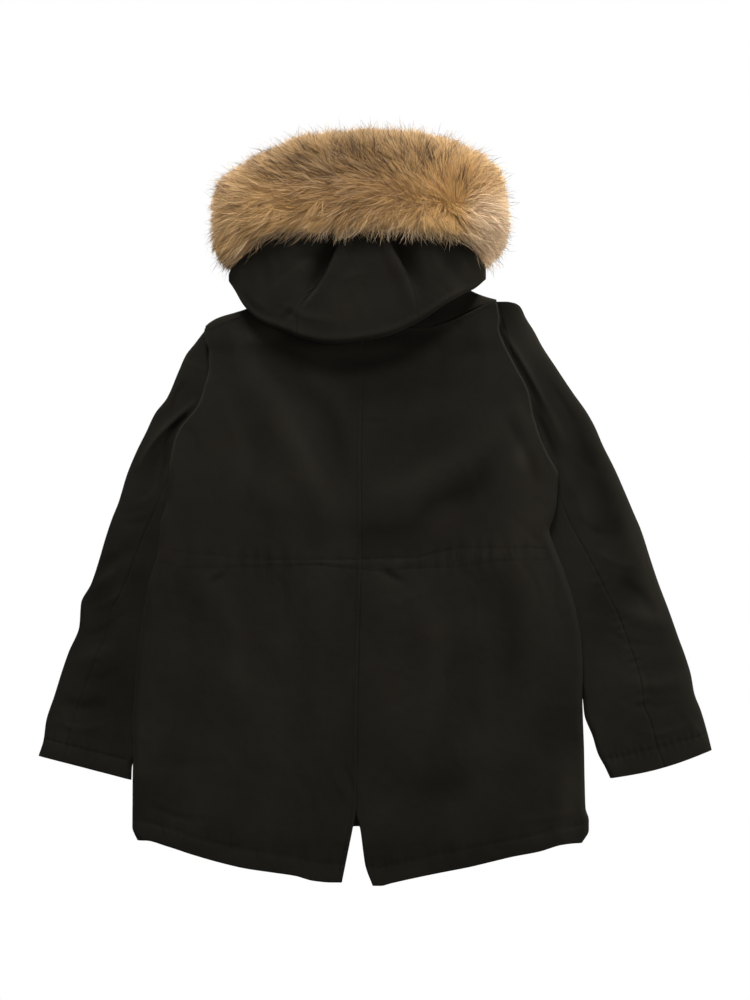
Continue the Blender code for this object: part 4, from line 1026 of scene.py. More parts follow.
def back_grid(side):
    """x and y of the back's points, in rows from the hem up and in columns from the centre
    seam to the rounded side, and y of each row at that side."""
    rows = subdivided(BACK_ROWS, BACK_STEP)
    rows = np.concatenate([rows[:1], rows[:1] + HEM_STEPS, rows[1:]])
    centre = centre_line(side)
    edge = EDGE[side]
    over_hem = ease((rows - rows[0]) / CORNER_RUN)
    under_top = ease((rows[-1, 1] - rows[:, 1]) / CORNER_RUN)
    centre_y = rows[:, 0] + (centre[0][0] - rows[0, 0]) * over_hem[:, 0]
    side_y = rows[:, 1] + (edge[0][0] - rows[0, 1]) * over_hem[:, 1]
    side_y = side_y + (edge[-1][0] - rows[-1, 1]) * under_top
    centre_x = column(centre, centre_y)
    side_x = edge_x(side, side_y) - side * EDGE_ROUND
    across = BACK_COLUMNS
    up = ((centre_y - centre_y[0]) / (centre_y[-1] - centre_y[0]))[:, None]
    hem_y = column(HEM[side], centre_x[0] + (side_x[0] - centre_x[0]) * across)
    top_y = column(TOP[side], centre_x[-1] + (side_x[-1] - centre_x[-1]) * across)
    bow = (1 - up) * off_straight(hem_y, across) + up * off_straight(top_y, across)
    x = centre_x[:, None] + (side_x - centre_x)[:, None] * across
    y = centre_y[:, None] + (side_y - centre_y)[:, None] * across
    y = y + bow * ((1 - up) ** 3 + up**5)
    x[:, 0] += side * SEAM
    return x, y, side_y


def back(name, side, material):
    """Half of the back, from the centre seam to the rounded side."""
    x, y, side_y = back_grid(side)
    inside = body_inside(side, x, y)
    outer = xyz(x, y, np.maximum(back_height(side, x, y), inside + THINNEST))
    inner = xyz(x, y, inside)
    edge = edge_x(side, side_y)
    low = REST_ON_SLEEVE * on_sleeve(side, side_y)
    droop = SHOULDER_DROOP[side] * ease((side_y[-1] - side_y) / 14.0)
    at_armhole = ease((ARMHOLE[0] - side_y) / ARMHOLE[1])
    square = 1 - ARMHOLE_SQUARE * at_armhole
    rolled = []
    lined = []
    pale = []
    for a in ROLL_ANGLES:
        out_way = math.sin(a) ** square
        up = max(math.cos(a), 0.0) ** square
        from_edge = EDGE_ROUND * (1 - out_way)
        raised = RIM_HIGH * at_armhole * bump(from_edge - 2.0, 1.7)
        in_x = edge - side * (EDGE_ROUND - (EDGE_ROUND - WALL) * out_way)
        roll_y = y[:, -1] - droop * math.sin(a)
        out_z = low + (outer[:, -1, 2] - low) * up + raised * math.cos(a)
        in_z = low + (inner[:, -1, 2] - low) * up
        rolled.append(xyz(edge - side * from_edge, roll_y, out_z))
        lined.append(xyz(in_x, roll_y, in_z))
        # Painted highlight along the rolled side, strongest on the armhole's raised rim.
        pale.append((RIM_HIGHLIGHT * at_armhole + 0.06) * bump(from_edge - 1.0, 2.0))
    last = x.shape[1] - 1
    outer = np.concatenate([outer, np.stack(rolled, axis=1)], axis=1)
    inner = np.concatenate([inner, np.stack(lined, axis=1)], axis=1)
    x, y = outer[..., 0], outer[..., 1]
    # Painted light and shade: lighter on ridges and lit patches, darker in creases and in a
    # painted shadow under the hood.
    worn_and_shaded = relief_light_and_patches(outer, body_top(side, x, y)) + light_and_shade_patches(BACK_LIGHT_AND_SHADE, x, y)
    worn_and_shaded[:, last + 1 :] = worn_and_shaded[:, last : last + 1] + np.stack(pale, axis=1)
    columns = thinned(outer.shape[1], 5, keep_last=len(ROLL_ANGLES) + 2)
    rows = thinned(len(outer), 4)
    return wall(name, outer, inner, material, rows=rows, columns=columns, wear_and_painted_light=worn_and_shaded)


def light_and_shade_patches(table, x, y):
    """How much lighter or darker the cloth is painted by place, as painted light and shade."""
    total = np.zeros(np.shape(x))
    for at_x, at_y, reach_x, reach_y, amount in table:
        away = np.hypot((x - at_x) / reach_x, (y - at_y) / reach_y)
        total = total + amount * ease(away / 1.5)
    return total


def relief_light_and_patches(outer, plain):
    """How much lighter the cloth is: lighter on ridges, as wear and painted highlight, darker in
    creases as painted shade, and by patches.
    """
    raised = np.clip((outer[..., 2] - plain) / 9.0, -0.22, 0.22)
    return raised + 0.06 * drift(outer[..., 0], outer[..., 1], 90.0, 21)


def front(name, side, material):
    """Half of the front: flat on the surface, lifted over the sleeve, and rolled over the
    shoulder to its seam on the back."""
    shoulder = SHOULDER[side]
    neck_point = shoulder[-1][0] if side < 0 else shoulder[0][0]
    tip = (shoulder[0][0] if side < 0 else shoulder[-1][0]) - side * TIP_INSET
    start = PLACKET[side] + side * 2 * SEAM
    share = np.concatenate([np.linspace(0, 0.52, NECK_COLUMNS), np.linspace(0.53, 1.0, 44)])
    at_neck = share[NECK_COLUMNS - 1]
    # At the top the columns run from the placket to the neck point and on to the tip.
    top_x = np.interp(share, (0, at_neck, 1), (PLACKET[side], neck_point, tip))
    top_x[0] = start
    even_x = top_x[0] + (top_x[-1] - top_x[0]) * share
    fold_y = column(shoulder, top_x)
    seam_y = column(TOP[side], top_x) + 0.35
    round_y = np.clip(fold_y - seam_y - 1.0, 0.4, 6.5)
    thin_y = np.maximum(round_y - WALL, 0.2)
    last_y = np.where(share < at_neck, column(NECK[side], top_x), fold_y - round_y)
    rows = np.concatenate([np.linspace(0, 0.9, 34), np.linspace(0.91, 1, 12)])
    outer = []
    inner = []
    for r in rows:
        y = FRONT_HEM + (last_y - FRONT_HEM) * r
        near = edge_x(side, y[-1] + np.arange(-24, 25, 8))
        side_x = (near.max() if side < 0 else near.min()) - side * EDGE_INSET
        x = start + (side_x - start) * share + (top_x - even_x) * r**3
        low = lift(side, x, y, FRONT_LIFT_RUN)
        outer.append(xyz(x, y, low))
        inner.append(xyz(x, y, low + WALL))
    x, centre_y, low = outer[-1].T
    high = body_top(side, x, np.minimum(centre_y, 243.0))
    high = np.maximum(high, low + 2 * WALL + 1.5)
    middle = (low + high) / 2
    tall = (high - low) / 2
    # Past the side of the back, the roll widens to the shoulder point.
    widening = np.clip((share - 0.85) / 0.15, 0, 1) ** 2 * (tip - x[-1])
    for a in np.radians(np.arange(12, 181, 12)):
        wide_x = x + widening * (1 - ease(a / (math.pi / 3)))
        out_y = centre_y + round_y * math.sin(a)
        in_y = centre_y + thin_y * math.sin(a)
        outer.append(xyz(wide_x, out_y, middle - tall * math.cos(a)))
        inner.append(xyz(wide_x, in_y, middle - (tall - WALL) * math.cos(a)))
    x = x + widening
    uneven = 0.35 * drift(x, centre_y, 16.0, 31)
    for t in (0.15, 0.3, 0.45, 0.6, 0.75, 0.86, 0.94, 1.0):
        y = centre_y + (seam_y - centre_y) * t
        z = high + uneven * math.sin(math.pi * t)
        z = z - 0.25 * SHOULDER_SEAM[side] * bump(y - seam_y, 0.8)
        outer.append(xyz(x, y, z))
        inner.append(xyz(x, y, high - WALL))
    outer = np.stack(outer)
    cells = np.ones((outer.shape[0] - 1, outer.shape[1] - 1), bool)
    cells[len(rows) - 1 :, : NECK_COLUMNS - 1] = False
    # Painted light and shade: a painted highlight on the shoulder's roll and painted shadow under
    # the hood.
    worn_and_shaded = light_and_shade_patches(FRONT_LIGHT_AND_SHADE, outer[..., 0], outer[..., 1]) * (outer[..., 2] > WALL)
    return cut_wall(name, outer, np.stack(inner), cells, material, worn_and_shaded)


def placket(material):
    """The flap down the centre front, flush between the two fronts."""
    across = np.linspace(PLACKET[-1], PLACKET[1], 13)
    along = np.linspace(0, 1, 60)[:, None]
    top = np.interp(across, (PLACKET[-1], -17, PLACKET[1]), (202, 197, 202))
    y = FRONT_HEM + (top - FRONT_HEM) * along
    return wall("placket_cloth", xyz(across, y, 0.0), xyz(across, y, WALL), material)


# ------------------------------------------------------------------ the sleeves


def joined(*parts):
    """Grids side by side."""
    return np.concatenate(parts, axis=1)


def sleeve(side, material):
    """Both pieces of a sleeve: a flat tube that is split at its two seams. Returns them
    and the line of the cuff's stitching over the top."""
    table = np.asarray(SLEEVE[side], float)
    t = np.linspace(0, 1, len(table))
    fine = np.concatenate([np.linspace(0, 0.993, 190), [0.9955, 0.9975, 0.999, 1.0]])
    # These have a row for each section, from the shoulder to the cuff.
    outer_y, inner_y, seam, high = (smooth(t, table[:, k], fine)[:, None] for k in range(4))
    outer_x = column(OUTER[side], outer_y)
    inner_x = sleeve_inner(side, inner_y)
    wide = np.hypot(inner_x - outer_x, inner_y - outer_y)
    seam_at = seam * wide
    run = np.hypot(np.diff(outer_x, axis=0), np.diff(outer_y, axis=0))
    from_top = np.concatenate([[[0.0]], np.cumsum(run, axis=0)])
    cuff = from_top[-1] - from_top

    def pressed(x, y):
        """0 where the sleeve lies free, 1 under the body's side."""
        clear = side * (x - edge_x(side, y))
        reach = 12.0 - 9.0 * ease((ARMHOLE[0] - y) / ARMHOLE[1])
        return 1 - np.clip((clear - 0.5) / reach, 0, 1)

    def seam_relief(across, y):
        """The groove along the back seam, and the puckers on both sides of it."""
        away = across - seam_at
        plain = 0.75 + 0.25 * drift(across, y, 30.0, 37)
        relief = (-0.5 * bump(away, 1.1) + 0.15 * bump(np.abs(away) - 3.2, 1.4)) * plain
        uneven = 0.45 + 0.55 * drift(across, y, 26.0, 38)
        turn = np.sin(math.tau * y / PUCKER_LENGTH + 2.6 * np.sin(y / 23.0) + 0.19 * away)
        for low, top, tall, sign in SEAM_PUCKERS:
            strong = PUCKERED[side] * tall * ease((low - y) / 20) * ease((y - top) / 30)
            reach = np.where(away * sign > 0, 13.0, 7.0)
            relief = relief + strong * uneven * turn * bump(away, reach)
        return relief

    def spots(across):
        """x and y at distances across each section."""
        x = outer_x + (inner_x - outer_x) / wide * across
        y = outer_y + (inner_y - outer_y) / wide * across
        bowed = np.sin(np.pi * np.clip(across / wide, 0, 1)) * ease(cuff / 50.0)
        return x, y - CUFF_BOW[side] * bowed

    def skin(across, z):
        """The outer surface, with its folds where the body doesn't press it flat."""
        x, y = spots(across)
        raised = folds(SLEEVE_FOLDS, x, y) + folds(SLEEVE_CREASES, x, y)
        raised = raised + folds(SLEEVE_SCATTER, x, y) + 0.3 * drift(x, y, 34.0, 8)
        raised = raised + 0.4 * np.sin(np.pi * np.clip(cuff / CUFF_TURN, 0, 1))
        raised = raised - 0.5 * bump(cuff - CUFF_TURN, 1.5)
        small = 0.3 * np.sin(math.tau * across / 8.2 + 2.0 * np.sin(across / 19.0))
        near = ease((np.abs(cuff - CUFF_TURN) - 1.0) / 9.0)
        raised = raised + small * near + seam_relief(across, y)
        share = np.clip((z / high - 0.5) * 2, 0, 1) * (1 - pressed(x, y))
        middle = high / 2
        drop = folded_edge(cuff, 1.5) * np.clip((z - middle) / middle, -1, 1)
        z = z + np.clip(raised, THINNEST - SLEEVE_WALL, 4.0) * share
        return xyz(x, y, np.maximum(z - drop, 0.0))

    def piece(name, tops, centre, sign, seam_bottom):
        """A wall from its seam on top, over one folded edge, to its seam underneath."""
        flat = np.broadcast_to(high, tops.shape)
        bottoms = centre + (seam_bottom - centre) * np.linspace(0, 1, 5)
        floor = np.zeros_like(bottoms)
        arc = centre + sign * SLEEVE_ROUND * np.sin(SLEEVE_ANGLES)
        arc_z = high / 2 * (1 + np.cos(SLEEVE_ANGLES))
        thin = centre + sign * (SLEEVE_ROUND - SLEEVE_WALL) * np.sin(SLEEVE_ANGLES)
        thin_z = high / 2 + (high / 2 - SLEEVE_WALL) * np.cos(SLEEVE_ANGLES)
        across = joined(tops, arc, bottoms)
        outer = skin(across, joined(flat, arc_z, floor))
        inner_z = joined(flat - SLEEVE_WALL, thin_z, floor + SLEEVE_WALL)
        inner = xyz(*spots(joined(tops, thin, bottoms)), inner_z)
        # Painted light and shade: lighter on ridges and lit folds, darker in creases and troughs.
        worn_and_shaded = relief_light_and_patches(outer, high)
        worn_and_shaded[:, tops.shape[1] :] *= 0.3
        worn_and_shaded = worn_and_shaded + light_and_shade_patches(SLEEVE_LIGHT_AND_SHADE, outer[..., 0], outer[..., 1])
        # Painted highlight along the outer fold.
        worn_and_shaded = worn_and_shaded + OUTER_HIGHLIGHT[side] * ease(across / 22.0)
        columns = thinned(across.shape[1], 6, keep_last=len(SLEEVE_ANGLES) + 6)
        rows = thinned(len(across), 5, keep_last=4)
        made = wall(name, outer, inner, material, rows=rows, columns=columns, wear_and_painted_light=worn_and_shaded)
        row = int(np.argmin(np.abs(cuff - CUFF_TURN)))
        return made, outer[row, : tops.shape[1]]

    def tops_to(centre, first):
        """Places across the top from the seam, closer together beside it."""
        sign = np.sign(centre - first)
        begun = first + sign * np.array([0.0, 0.7, 1.5, 2.5, 4.0])
        rest = first + sign * 6.0
        return joined(begun, rest + (centre - rest) * np.linspace(0, 1, 34))

    word = "left" if side < 0 else "right"
    outer_centre = np.full_like(wide, SLEEVE_ROUND)
    inner_centre = wide - SLEEVE_ROUND
    under = inner_centre - 5.0
    top, top_line = piece(
        f"sleeve_{word}_top_cloth", tops_to(outer_centre, seam_at - SEAM),
        outer_centre, -1, under - SEAM,
    )
    below, below_line = piece(
        f"sleeve_{word}_under_cloth", tops_to(inner_centre, seam_at + SEAM),
        inner_centre, 1, under + SEAM,
    )
    return top, below, np.concatenate([top_line[::-1], below_line])


# ------------------------------------------------------------------ the hood


def hood_swell(x):
    """0 at the hood's sides, 1 over its middle."""
    middle = (HOOD_LOW[0][0] + HOOD_LOW[-1][0]) / 2
    half = (HOOD_LOW[-1][0] - HOOD_LOW[0][0]) / 2
    return np.sqrt(np.clip(1 - (np.abs(x - middle) / half) ** 3.4, 0, 1))


def hood_y(x, share):
    """y at a share of the way from the hood's fold to its fur."""
    return hood_low(x) + (hood_high(x) - hood_low(x)) * share


def hood_share(x, y):
    """Which share of that way a place lies at."""
    return (y - hood_low(x)) / (hood_high(x) - hood_low(x))


def fold_round(x):
    """Radius of the hood's lower fold along y."""
    return FOLD_ROUND[0] + FOLD_ROUND[1] * hood_swell(x)


def hood_seam_groove(x, y):
    """The two seams' grooves, each with a low ridge beside it."""
    left = np.abs(x - column(HOOD_SEAMS, y))
    right = np.abs(x - column(HOOD_SEAMS, y, 2))
    away = np.minimum(left, right)
    return -0.5 * bump(away, 1.3) + 0.25 * bump(away - 3.6, 2.0)


def hood_pleats(x, y):
    """Depth of the pleats beside the hood's middle lobe."""
    depth = np.zeros(np.shape(x))
    for deep, steep, gentle, side, *points in HOOD_PLEATS:
        line = path(points, FOLD_POINTS)
        away = np.hypot(x[..., None] - line[:, 0], y[..., None] - line[:, 1])
        nearest = np.argmin(away, axis=-1)
        way = np.gradient(line, axis=0)[nearest]
        at = line[nearest]
        turned = (x - at[..., 0]) * way[..., 1] - (y - at[..., 1]) * way[..., 0]
        beside = np.where(turned * side < 0, away.min(axis=-1), 0.0)
        fade = ease((nearest / (FOLD_POINTS - 1) - 0.4) / 0.6)
        depth = depth - deep * fade * (1 - ease(beside / steep)) * bump(beside, gentle)
    return depth


def hood_top(x, share):
    """Height of the hood's outer surface at a share of the way from fold to fur."""
    crown = column(HOOD_CROWN, share)
    y = hood_y(x, share)
    raised = folds(HOOD_FOLDS, x, y) + hood_pleats(x, y)
    raised = raised + folds(HOOD_CREASES, x, y) + folds(HOOD_SCATTER, x, y)
    raised = raised + hood_seam_groove(x, y) + 0.4 * drift(x, y, 38.0, 9)
    return HOOD_EDGE_HIGH + (crown - HOOD_EDGE_HIGH + raised) * hood_swell(x)


def hood_surface(x, y):
    """Height of the hood's cloth at a place, or 0 beside it."""
    share = hood_share(x, y)
    covered = (share > -0.02) & (share < 1.02) & (x > HOOD_LOW[0][0]) & (x < HOOD_LOW[-1][0])
    height = np.zeros(np.shape(x))
    height[covered] = hood_top(x[covered], np.clip(share[covered], 0, 1))
    return height


def hood_panel(name, left_x, right_x, material):
    """A panel of the hood between two seams given as functions of y."""
    near = np.array([0.0, 0.006, 0.013, 0.022, 0.034])
    across = np.concatenate([near, np.linspace(0.05, 0.95, 50), 1 - near[::-1]])
    shares = np.concatenate([np.linspace(0.03, 0.3, 20), np.linspace(0.315, 1.0, 48)])

    def x_at(share):
        """x of each column at a share of the way up, following the seams."""
        y = hood_y(0.0, 0.5) + (share - 0.5) * 130.0
        return left_x(y) + (right_x(y) - left_x(y)) * across

    x = x_at(0.0)
    low = hood_low(x)
    room = hood_high(x) - low
    round_y = fold_round(x)
    radius = (hood_top(x, round_y / room) - HOOD_FLOOR) / 2
    layer = np.minimum(HOOD_LAYER, room - 6.0)
    layer = np.maximum(np.minimum(layer, column(LINING_STEP, x) - 4.0 - low), 2.0)
    outer = [xyz(x, low + layer, HOOD_FLOOR)]
    inner = [xyz(x, low + layer, HOOD_FLOOR + HOOD_WALL)]
    for a in np.radians(np.arange(0, 181, 7.5)):
        out_way = abs(math.sin(a)) ** FOLD_SQUARE
        up = math.copysign(abs(math.cos(a)) ** FOLD_SQUARE, math.cos(a))
        in_y = low + round_y - (round_y - HOOD_WALL) * out_way
        in_z = HOOD_FLOOR + radius - (radius - HOOD_WALL) * up
        outer.append(xyz(x, low + round_y * (1 - out_way), HOOD_FLOOR + radius * (1 - up)))
        inner.append(xyz(x, in_y, in_z))
    for along in shares:
        x = x_at(along)
        begins = fold_round(x) / (hood_high(x) - hood_low(x))
        share = begins + (1 - begins) * along
        y = hood_y(x, share)
        z = hood_top(x, share)
        outer.append(xyz(x, y, z))
        inner.append(xyz(x, y, z - HOOD_WALL))
    outer = np.stack(outer)
    x, y = outer[..., 0], outer[..., 1]
    # Painted light and shade: lighter on the hood's lit sides and rims.
    worn_and_shaded = 0.10 + 0.05 * drift(x, y, 60.0, 22) + light_and_shade_patches(HOOD_LIGHT_AND_SHADE, x, y)
    rows = thinned(len(outer), 4)
    columns = thinned(len(across), 4)
    return wall(name, outer, np.stack(inner), material, rows=rows, columns=columns, wear_and_painted_light=worn_and_shaded)


def hood(material):
    """The hood's three panels, from left to right."""

    def end(x):
        return lambda y: x

    def seam(which, beside):
        """x of a seam's left or right side as a function of y."""
        return lambda y: column(HOOD_SEAMS, y, which) + beside * SEAM

    panels = (
        ("hood_left_cloth", end(HOOD_LOW[0][0]), seam(1, -1)),
        ("hood_center_cloth", seam(1, 1), seam(2, -1)),
        ("hood_right_cloth", seam(2, 1), end(HOOD_LOW[-1][0])),
    )
    return [hood_panel(name, left, right, material) for name, left, right in panels]


def hood_lining(material):
    """The layers folded up inside the hood, as one soft body with a flat underside."""
    x = np.linspace(*LINING, 96)
    low = hood_low(x) + 4.0 + 9.0 * hood_swell(x)
    step = column(LINING_STEP, x)
    end = hood_high(x) + 1.0
    floor = HOOD_FLOOR + HOOD_WALL + 0.4
    rows = [(low + (step - 0.6 - low) * t, floor) for t in np.linspace(0, 1, 8)]
    rows += [(step + (end - step) * t, 0.0) for t in np.linspace(0, 1, 16)]
    top = []
    bottom = []
    for y, base in rows:
        share = np.clip(hood_share(x, y), 0, 1)
        # Lowest nearby height of the cloth above, so that it clears each trough.
        around = [
            hood_top(x + dx, np.clip(share + dv, 0, 1))
            for dx in (-5, 0, 5)
            for dv in (-0.06, 0, 0.06)
        ]
        z = np.min(around, axis=0) - HOOD_WALL - 1.0
        top.append(xyz(x, y, np.maximum(z, base + 0.8)))
        bottom.append(xyz(x, y, base))
    return wall("hood_lining_cloth", np.stack(top), np.stack(bottom), material)


# ------------------------------------------------------------------ stitching


STITCH = 2.9  # length of a stitch
STITCH_PITCH = 3.8  # from one stitch to the next
STITCH_STOPS = (-0.5, -0.3, 0.3, 0.5)  # where a stitch's four points lie along it
THREAD_THICK = 0.62
CASING_Y = -60.0  # y of the casing at the seam and the side
SHOULDER_STITCHES = {-1: (-198, -150), 1: (70, 138)}


def stitches(name, lines, material):
    """Short threads along lines on the cloth, a little sunk in it."""
    vertices = []
    faces = []
    for line in lines:
        line = np.asarray(line, float)
        run = np.concatenate([[0], np.cumsum(np.linalg.norm(np.diff(line, axis=0), axis=1))])
        for begin in np.arange(STITCH_PITCH, run[-1] - STITCH_PITCH, STITCH_PITCH):
            at = [
                np.array([np.interp(begin + s * STITCH, run, line[:, k]) for k in range(3)])
                for s in STITCH_STOPS
            ]
            along = at[3] - at[0]
            along = along / np.linalg.norm(along)
            side = np.cross(along, (0.0, 0.0, 1.0))
            side = side / np.linalg.norm(side) * THREAD_THICK / 2
            up = np.array([0.0, 0.0, THREAD_THICK / 2])
            first = len(vertices)
            vertices.append(at[0] - 0.6 * up)
            for p in (at[1], at[2]):
                vertices.extend([p + side, p + up, p - side, p - up])
            vertices.append(at[3] - 0.6 * up)
            for k in range(4):
                a, b = first + 1 + k, first + 1 + (k + 1) % 4
                faces.append((first, b, a))
                faces.append((a, b, b + 4, a + 4))
                faces.append((a + 4, b + 4, first + 9))
    return mesh_object(name, vertices, faces, material)


def line_on_back(side, x, y):
    """Points a little above the back's outer surface."""
    return xyz(x, y, back_height(side, x, y) + 0.15)


def back_stitch_lines(side):
    """The casing's two rows, the hem's row, on the left half the centre seam's, and the
    shoulder's."""
    hem = HEM[side]
    centre = centre_line(side)
    lines = []
    for row in (1, 2):
        first = column(centre, CASING_Y) + side * 5
        x = np.linspace(first, edge_x(side, CASING_Y) - side * 8, 200)
        lines.append(line_on_back(side, x, column(CASING, x, row)))
    x = np.linspace(hem[-1][0] - 5 if side < 0 else hem[0][0] + 5, side * 240, 200)
    lines.append(line_on_back(side, x, column(hem, x) + HEM_TURN))
    if side < 0:
        y = np.linspace(-440, 176, 300)
        lines.append(line_on_back(side, column(centre, y) - 4.6, y))
    x = np.linspace(*SHOULDER_STITCHES[side], 40)
    lines.append(line_on_back(side, x, column(TOP[side], x) - 4.0))
    return lines


# ------------------------------------------------------------------ the fur


def fur_rings():
    """Sections of the fur's body, inner wall first, drawn in from its reach."""
    rings = []
    for ox, oy, ix, iy, high, inner_wall, lean in path(FUR, FUR_STATIONS):
        outward = np.array([ox - ix, oy - iy])
        across = np.linalg.norm(outward)
        outward = outward / across
        small = 1 - FUR_SHRINK * min(1.0, across / 60.0)
        crest = inner_wall + 0.6 * (high - inner_wall)
        ring = [(0.0, 0.0), (0.0, inner_wall), (-lean, inner_wall), (-0.7 * lean, crest)]
        ring += path([(a * across, b * high) for a, b in FUR_SECTION], 18).tolist()
        ring = [(a * small, max(0.0, b * small)) for a, b in ring]
        rings.append([(ix + outward[0] * a, iy + outward[1] * a, z) for a, z in ring])
    return np.asarray(rings)


def fur_body(material):
    """The fur's dense underlayer as a closed body."""
    rings = fur_rings()
    count, around = rings.shape[:2]
    place = np.arange(count * around).reshape(count, around)
    faces = grid_faces(np.concatenate([place, place[:, :1]], axis=1))
    faces.append(tuple(place[0].tolist()))
    faces.append(tuple(place[-1].tolist()))
    return mesh_object("fur_body", rings.reshape(-1, 3), faces, material)


def seen_from_above(points):
    """Where the camera sees points, on the level that the coat lies on."""
    nearer = CAMERA_HIGH / MM / (CAMERA_HIGH / MM - points[:, 2:])
    return np.asarray(CAMERA_AT) + (points[:, :2] - np.asarray(CAMERA_AT)) * nearer


def fur_flow(seen):
    """Angle in which the hair lies at each place, and how much it is in disorder there."""
    guide = np.asarray(FUR_FLOW, float)
    gap = (seen[:, :1] - guide[:, 0]) ** 2 + (seen[:, 1:] - guide[:, 1]) ** 2
    weight = 1 / (gap + FLOW_NEAR**2) ** 2
    turn = np.radians(guide[:, 2])
    rise = (weight * np.sin(turn)).sum(axis=1)
    run = (weight * np.cos(turn)).sum(axis=1)
    disorder = 1 - np.hypot(rise, run) / weight.sum(axis=1)
    return np.arctan2(rise, run) + 0.22 * drift(seen[:, 0], seen[:, 1], 21.0, 42), disorder


def outside_reach(points):
    """How far points lie outside the fur's reach as the camera sees them."""
    at = seen_from_above(points)
    ring = np.asarray(FUR_REACH, float)
    nearest = np.full(len(at), np.inf)
    inside = np.zeros(len(at), bool)
    for a, b in zip(ring, np.roll(ring, -1, axis=0)):
        t = np.clip(((at - a) @ (b - a)) / ((b - a) @ (b - a)), 0, 1)
        gap = at - a - t[:, None] * (b - a)
        nearest = np.minimum(nearest, np.hypot(gap[:, 0], gap[:, 1]))
        crosses = (a[1] > at[:, 1]) != (b[1] > at[:, 1])
        if a[1] != b[1]:
            over = at[:, 0] < a[0] + (at[:, 1] - a[1]) / (b[1] - a[1]) * (b[0] - a[0])
            inside ^= crosses & over
    return np.where(inside, -nearest, nearest)


LIP_RINGS = slice(1, 5)  # the stretch of each section that faces the hood
UNDER_CLOTH = 6.0  # hair this far below the hood's cloth isn't made
FLOOR_HAIR = 4.0  # hair below this height is hidden, so that little is made


def fur_roots(random, count, at_lip=False):
    """Places on the fur's body drawn evenly by area, with their outward normals."""
    rings = fur_rings()[:, 1:]
    u_step = rings[1:, :-1] - rings[:-1, :-1]
    v_step = rings[:-1, 1:] - rings[:-1, :-1]
    normal = np.cross(u_step, v_step)
    area = np.linalg.norm(normal, axis=-1)
    normal = normal / np.maximum(area, 1e-9)[..., None]
    corner = rings[:-1, :-1]
    weight = area * np.where(corner[..., 2] < FLOOR_HAIR, 0.3, 1.0)
    buried = hood_surface(corner[..., 0], corner[..., 1]) - corner[..., 2] > UNDER_CLOTH
    weight = np.where(buried, 0.0, weight)
    if at_lip:
        lip = np.zeros_like(weight)
        lip[:, LIP_RINGS] = weight[:, LIP_RINGS]
        weight = lip
    share = (weight / weight.sum()).ravel()
    cell = random.choice(share.size, count, p=share)
    i, j = np.unravel_index(cell, weight.shape)
    u, v = random.random((2, count))
    corners = [rings[i + a, j + b] for a, b in ((0, 0), (1, 0), (0, 1), (1, 1))]
    at = corners[0] * ((1 - u) * (1 - v))[:, None] + corners[1] * (u * (1 - v))[:, None]
    at = at + corners[2] * ((1 - u) * v)[:, None] + corners[3] * (u * v)[:, None]
    return at, normal[i, j]


def unit(vectors):
    """The vectors at length 1."""
    return vectors / np.maximum(np.linalg.norm(vectors, axis=-1), 1e-9)[..., None]


def mixed(a, b, share):
    """Colours between two, or between each pair of two lists."""
    a = np.asarray(a)
    return a + (np.asarray(b) - a) * share[..., None]


class Tufts:
    """The tufts that hair gathers in: hairs of one share its turn, bend and other ways."""

    def __init__(self, random, count, turn, bend, uneven):
        centres, _ = fur_roots(random, count)
        self.tree = KDTree(count)
        for k, at in enumerate(centres):
            self.tree.insert(at, k)
        self.tree.balance()
        self.count = count
        self.turn = random.normal(0, turn, count)
        self.bend = random.normal(0, bend, count)
        self.long = 1 + uneven * random.uniform(-1, 1, count)
        self.lift = 1 + 1.5 * uneven * random.uniform(-1, 1, count)
        self.past = 14 * uneven * random.normal(0, 1, count)
        self.tone = random.uniform(-1, 1, count)
        self.chance = random.uniform(0, 1, count)
        self.aside = random.normal(0, 1, (count, 2))

    def of(self, roots):
        """The number of each root's tuft."""
        return np.array([self.tree.find(at)[1] for at in roots])

    def gather(self, tips, tuft):
        """From each tip to the middle of its tuft's tips."""
        total = np.zeros((self.count, 3))
        np.add.at(total, tuft, tips)
        number = np.maximum(np.bincount(tuft, minlength=self.count), 1)
        return (total / number[:, None])[tuft] - tips


STRAND_STOPS = np.array([0.0, 0.38, 0.74, 1.0])
SHORTER = (1.0, 0.85, 0.7, 0.56, 0.44, 0.34, 0.25, 0.16)
FUR_TOP = 87.5  # no hair rises above this
FLOW_ASIDE = (7.0, 4.0, 4.0)  # how far beside, for small tufts, large ones and each hair
STANDS_OFF = 0.45  # share of the way out that hair at the fur's sides gives up
LIES_ALONG = 0.9  # and of the way in, where hair would grow into the fur's body
FLOW_DOWN = -0.15  # how much the hair slopes down
THIN_FROM = 262.0  # y where the hair is shortest at the trim's ends
THIN_RUN = 45.0  # from there it reaches its full length over this distance
TIP_SAG = 2.2  # how far each tip sinks
FUR_MIDDLE = (-19.0, 300.0)  # what the fur lies round
HANGS_UNDER = 0.6  # hair that would be cut to less than this share of its length hangs


def longest(place, long, most, lowest):
    """The largest share of its length at which each hair stays in the fur's reach."""
    keep = np.full(len(long), SHORTER[-1])
    left = np.arange(len(long))
    for share in SHORTER:
        tip = place(1.0, long * share)[left]
        fits = (outside_reach(tip) <= most[left]) & (tip[:, 2] >= lowest)
        keep[left[fits]] = share
        left = left[~fits]
    return keep


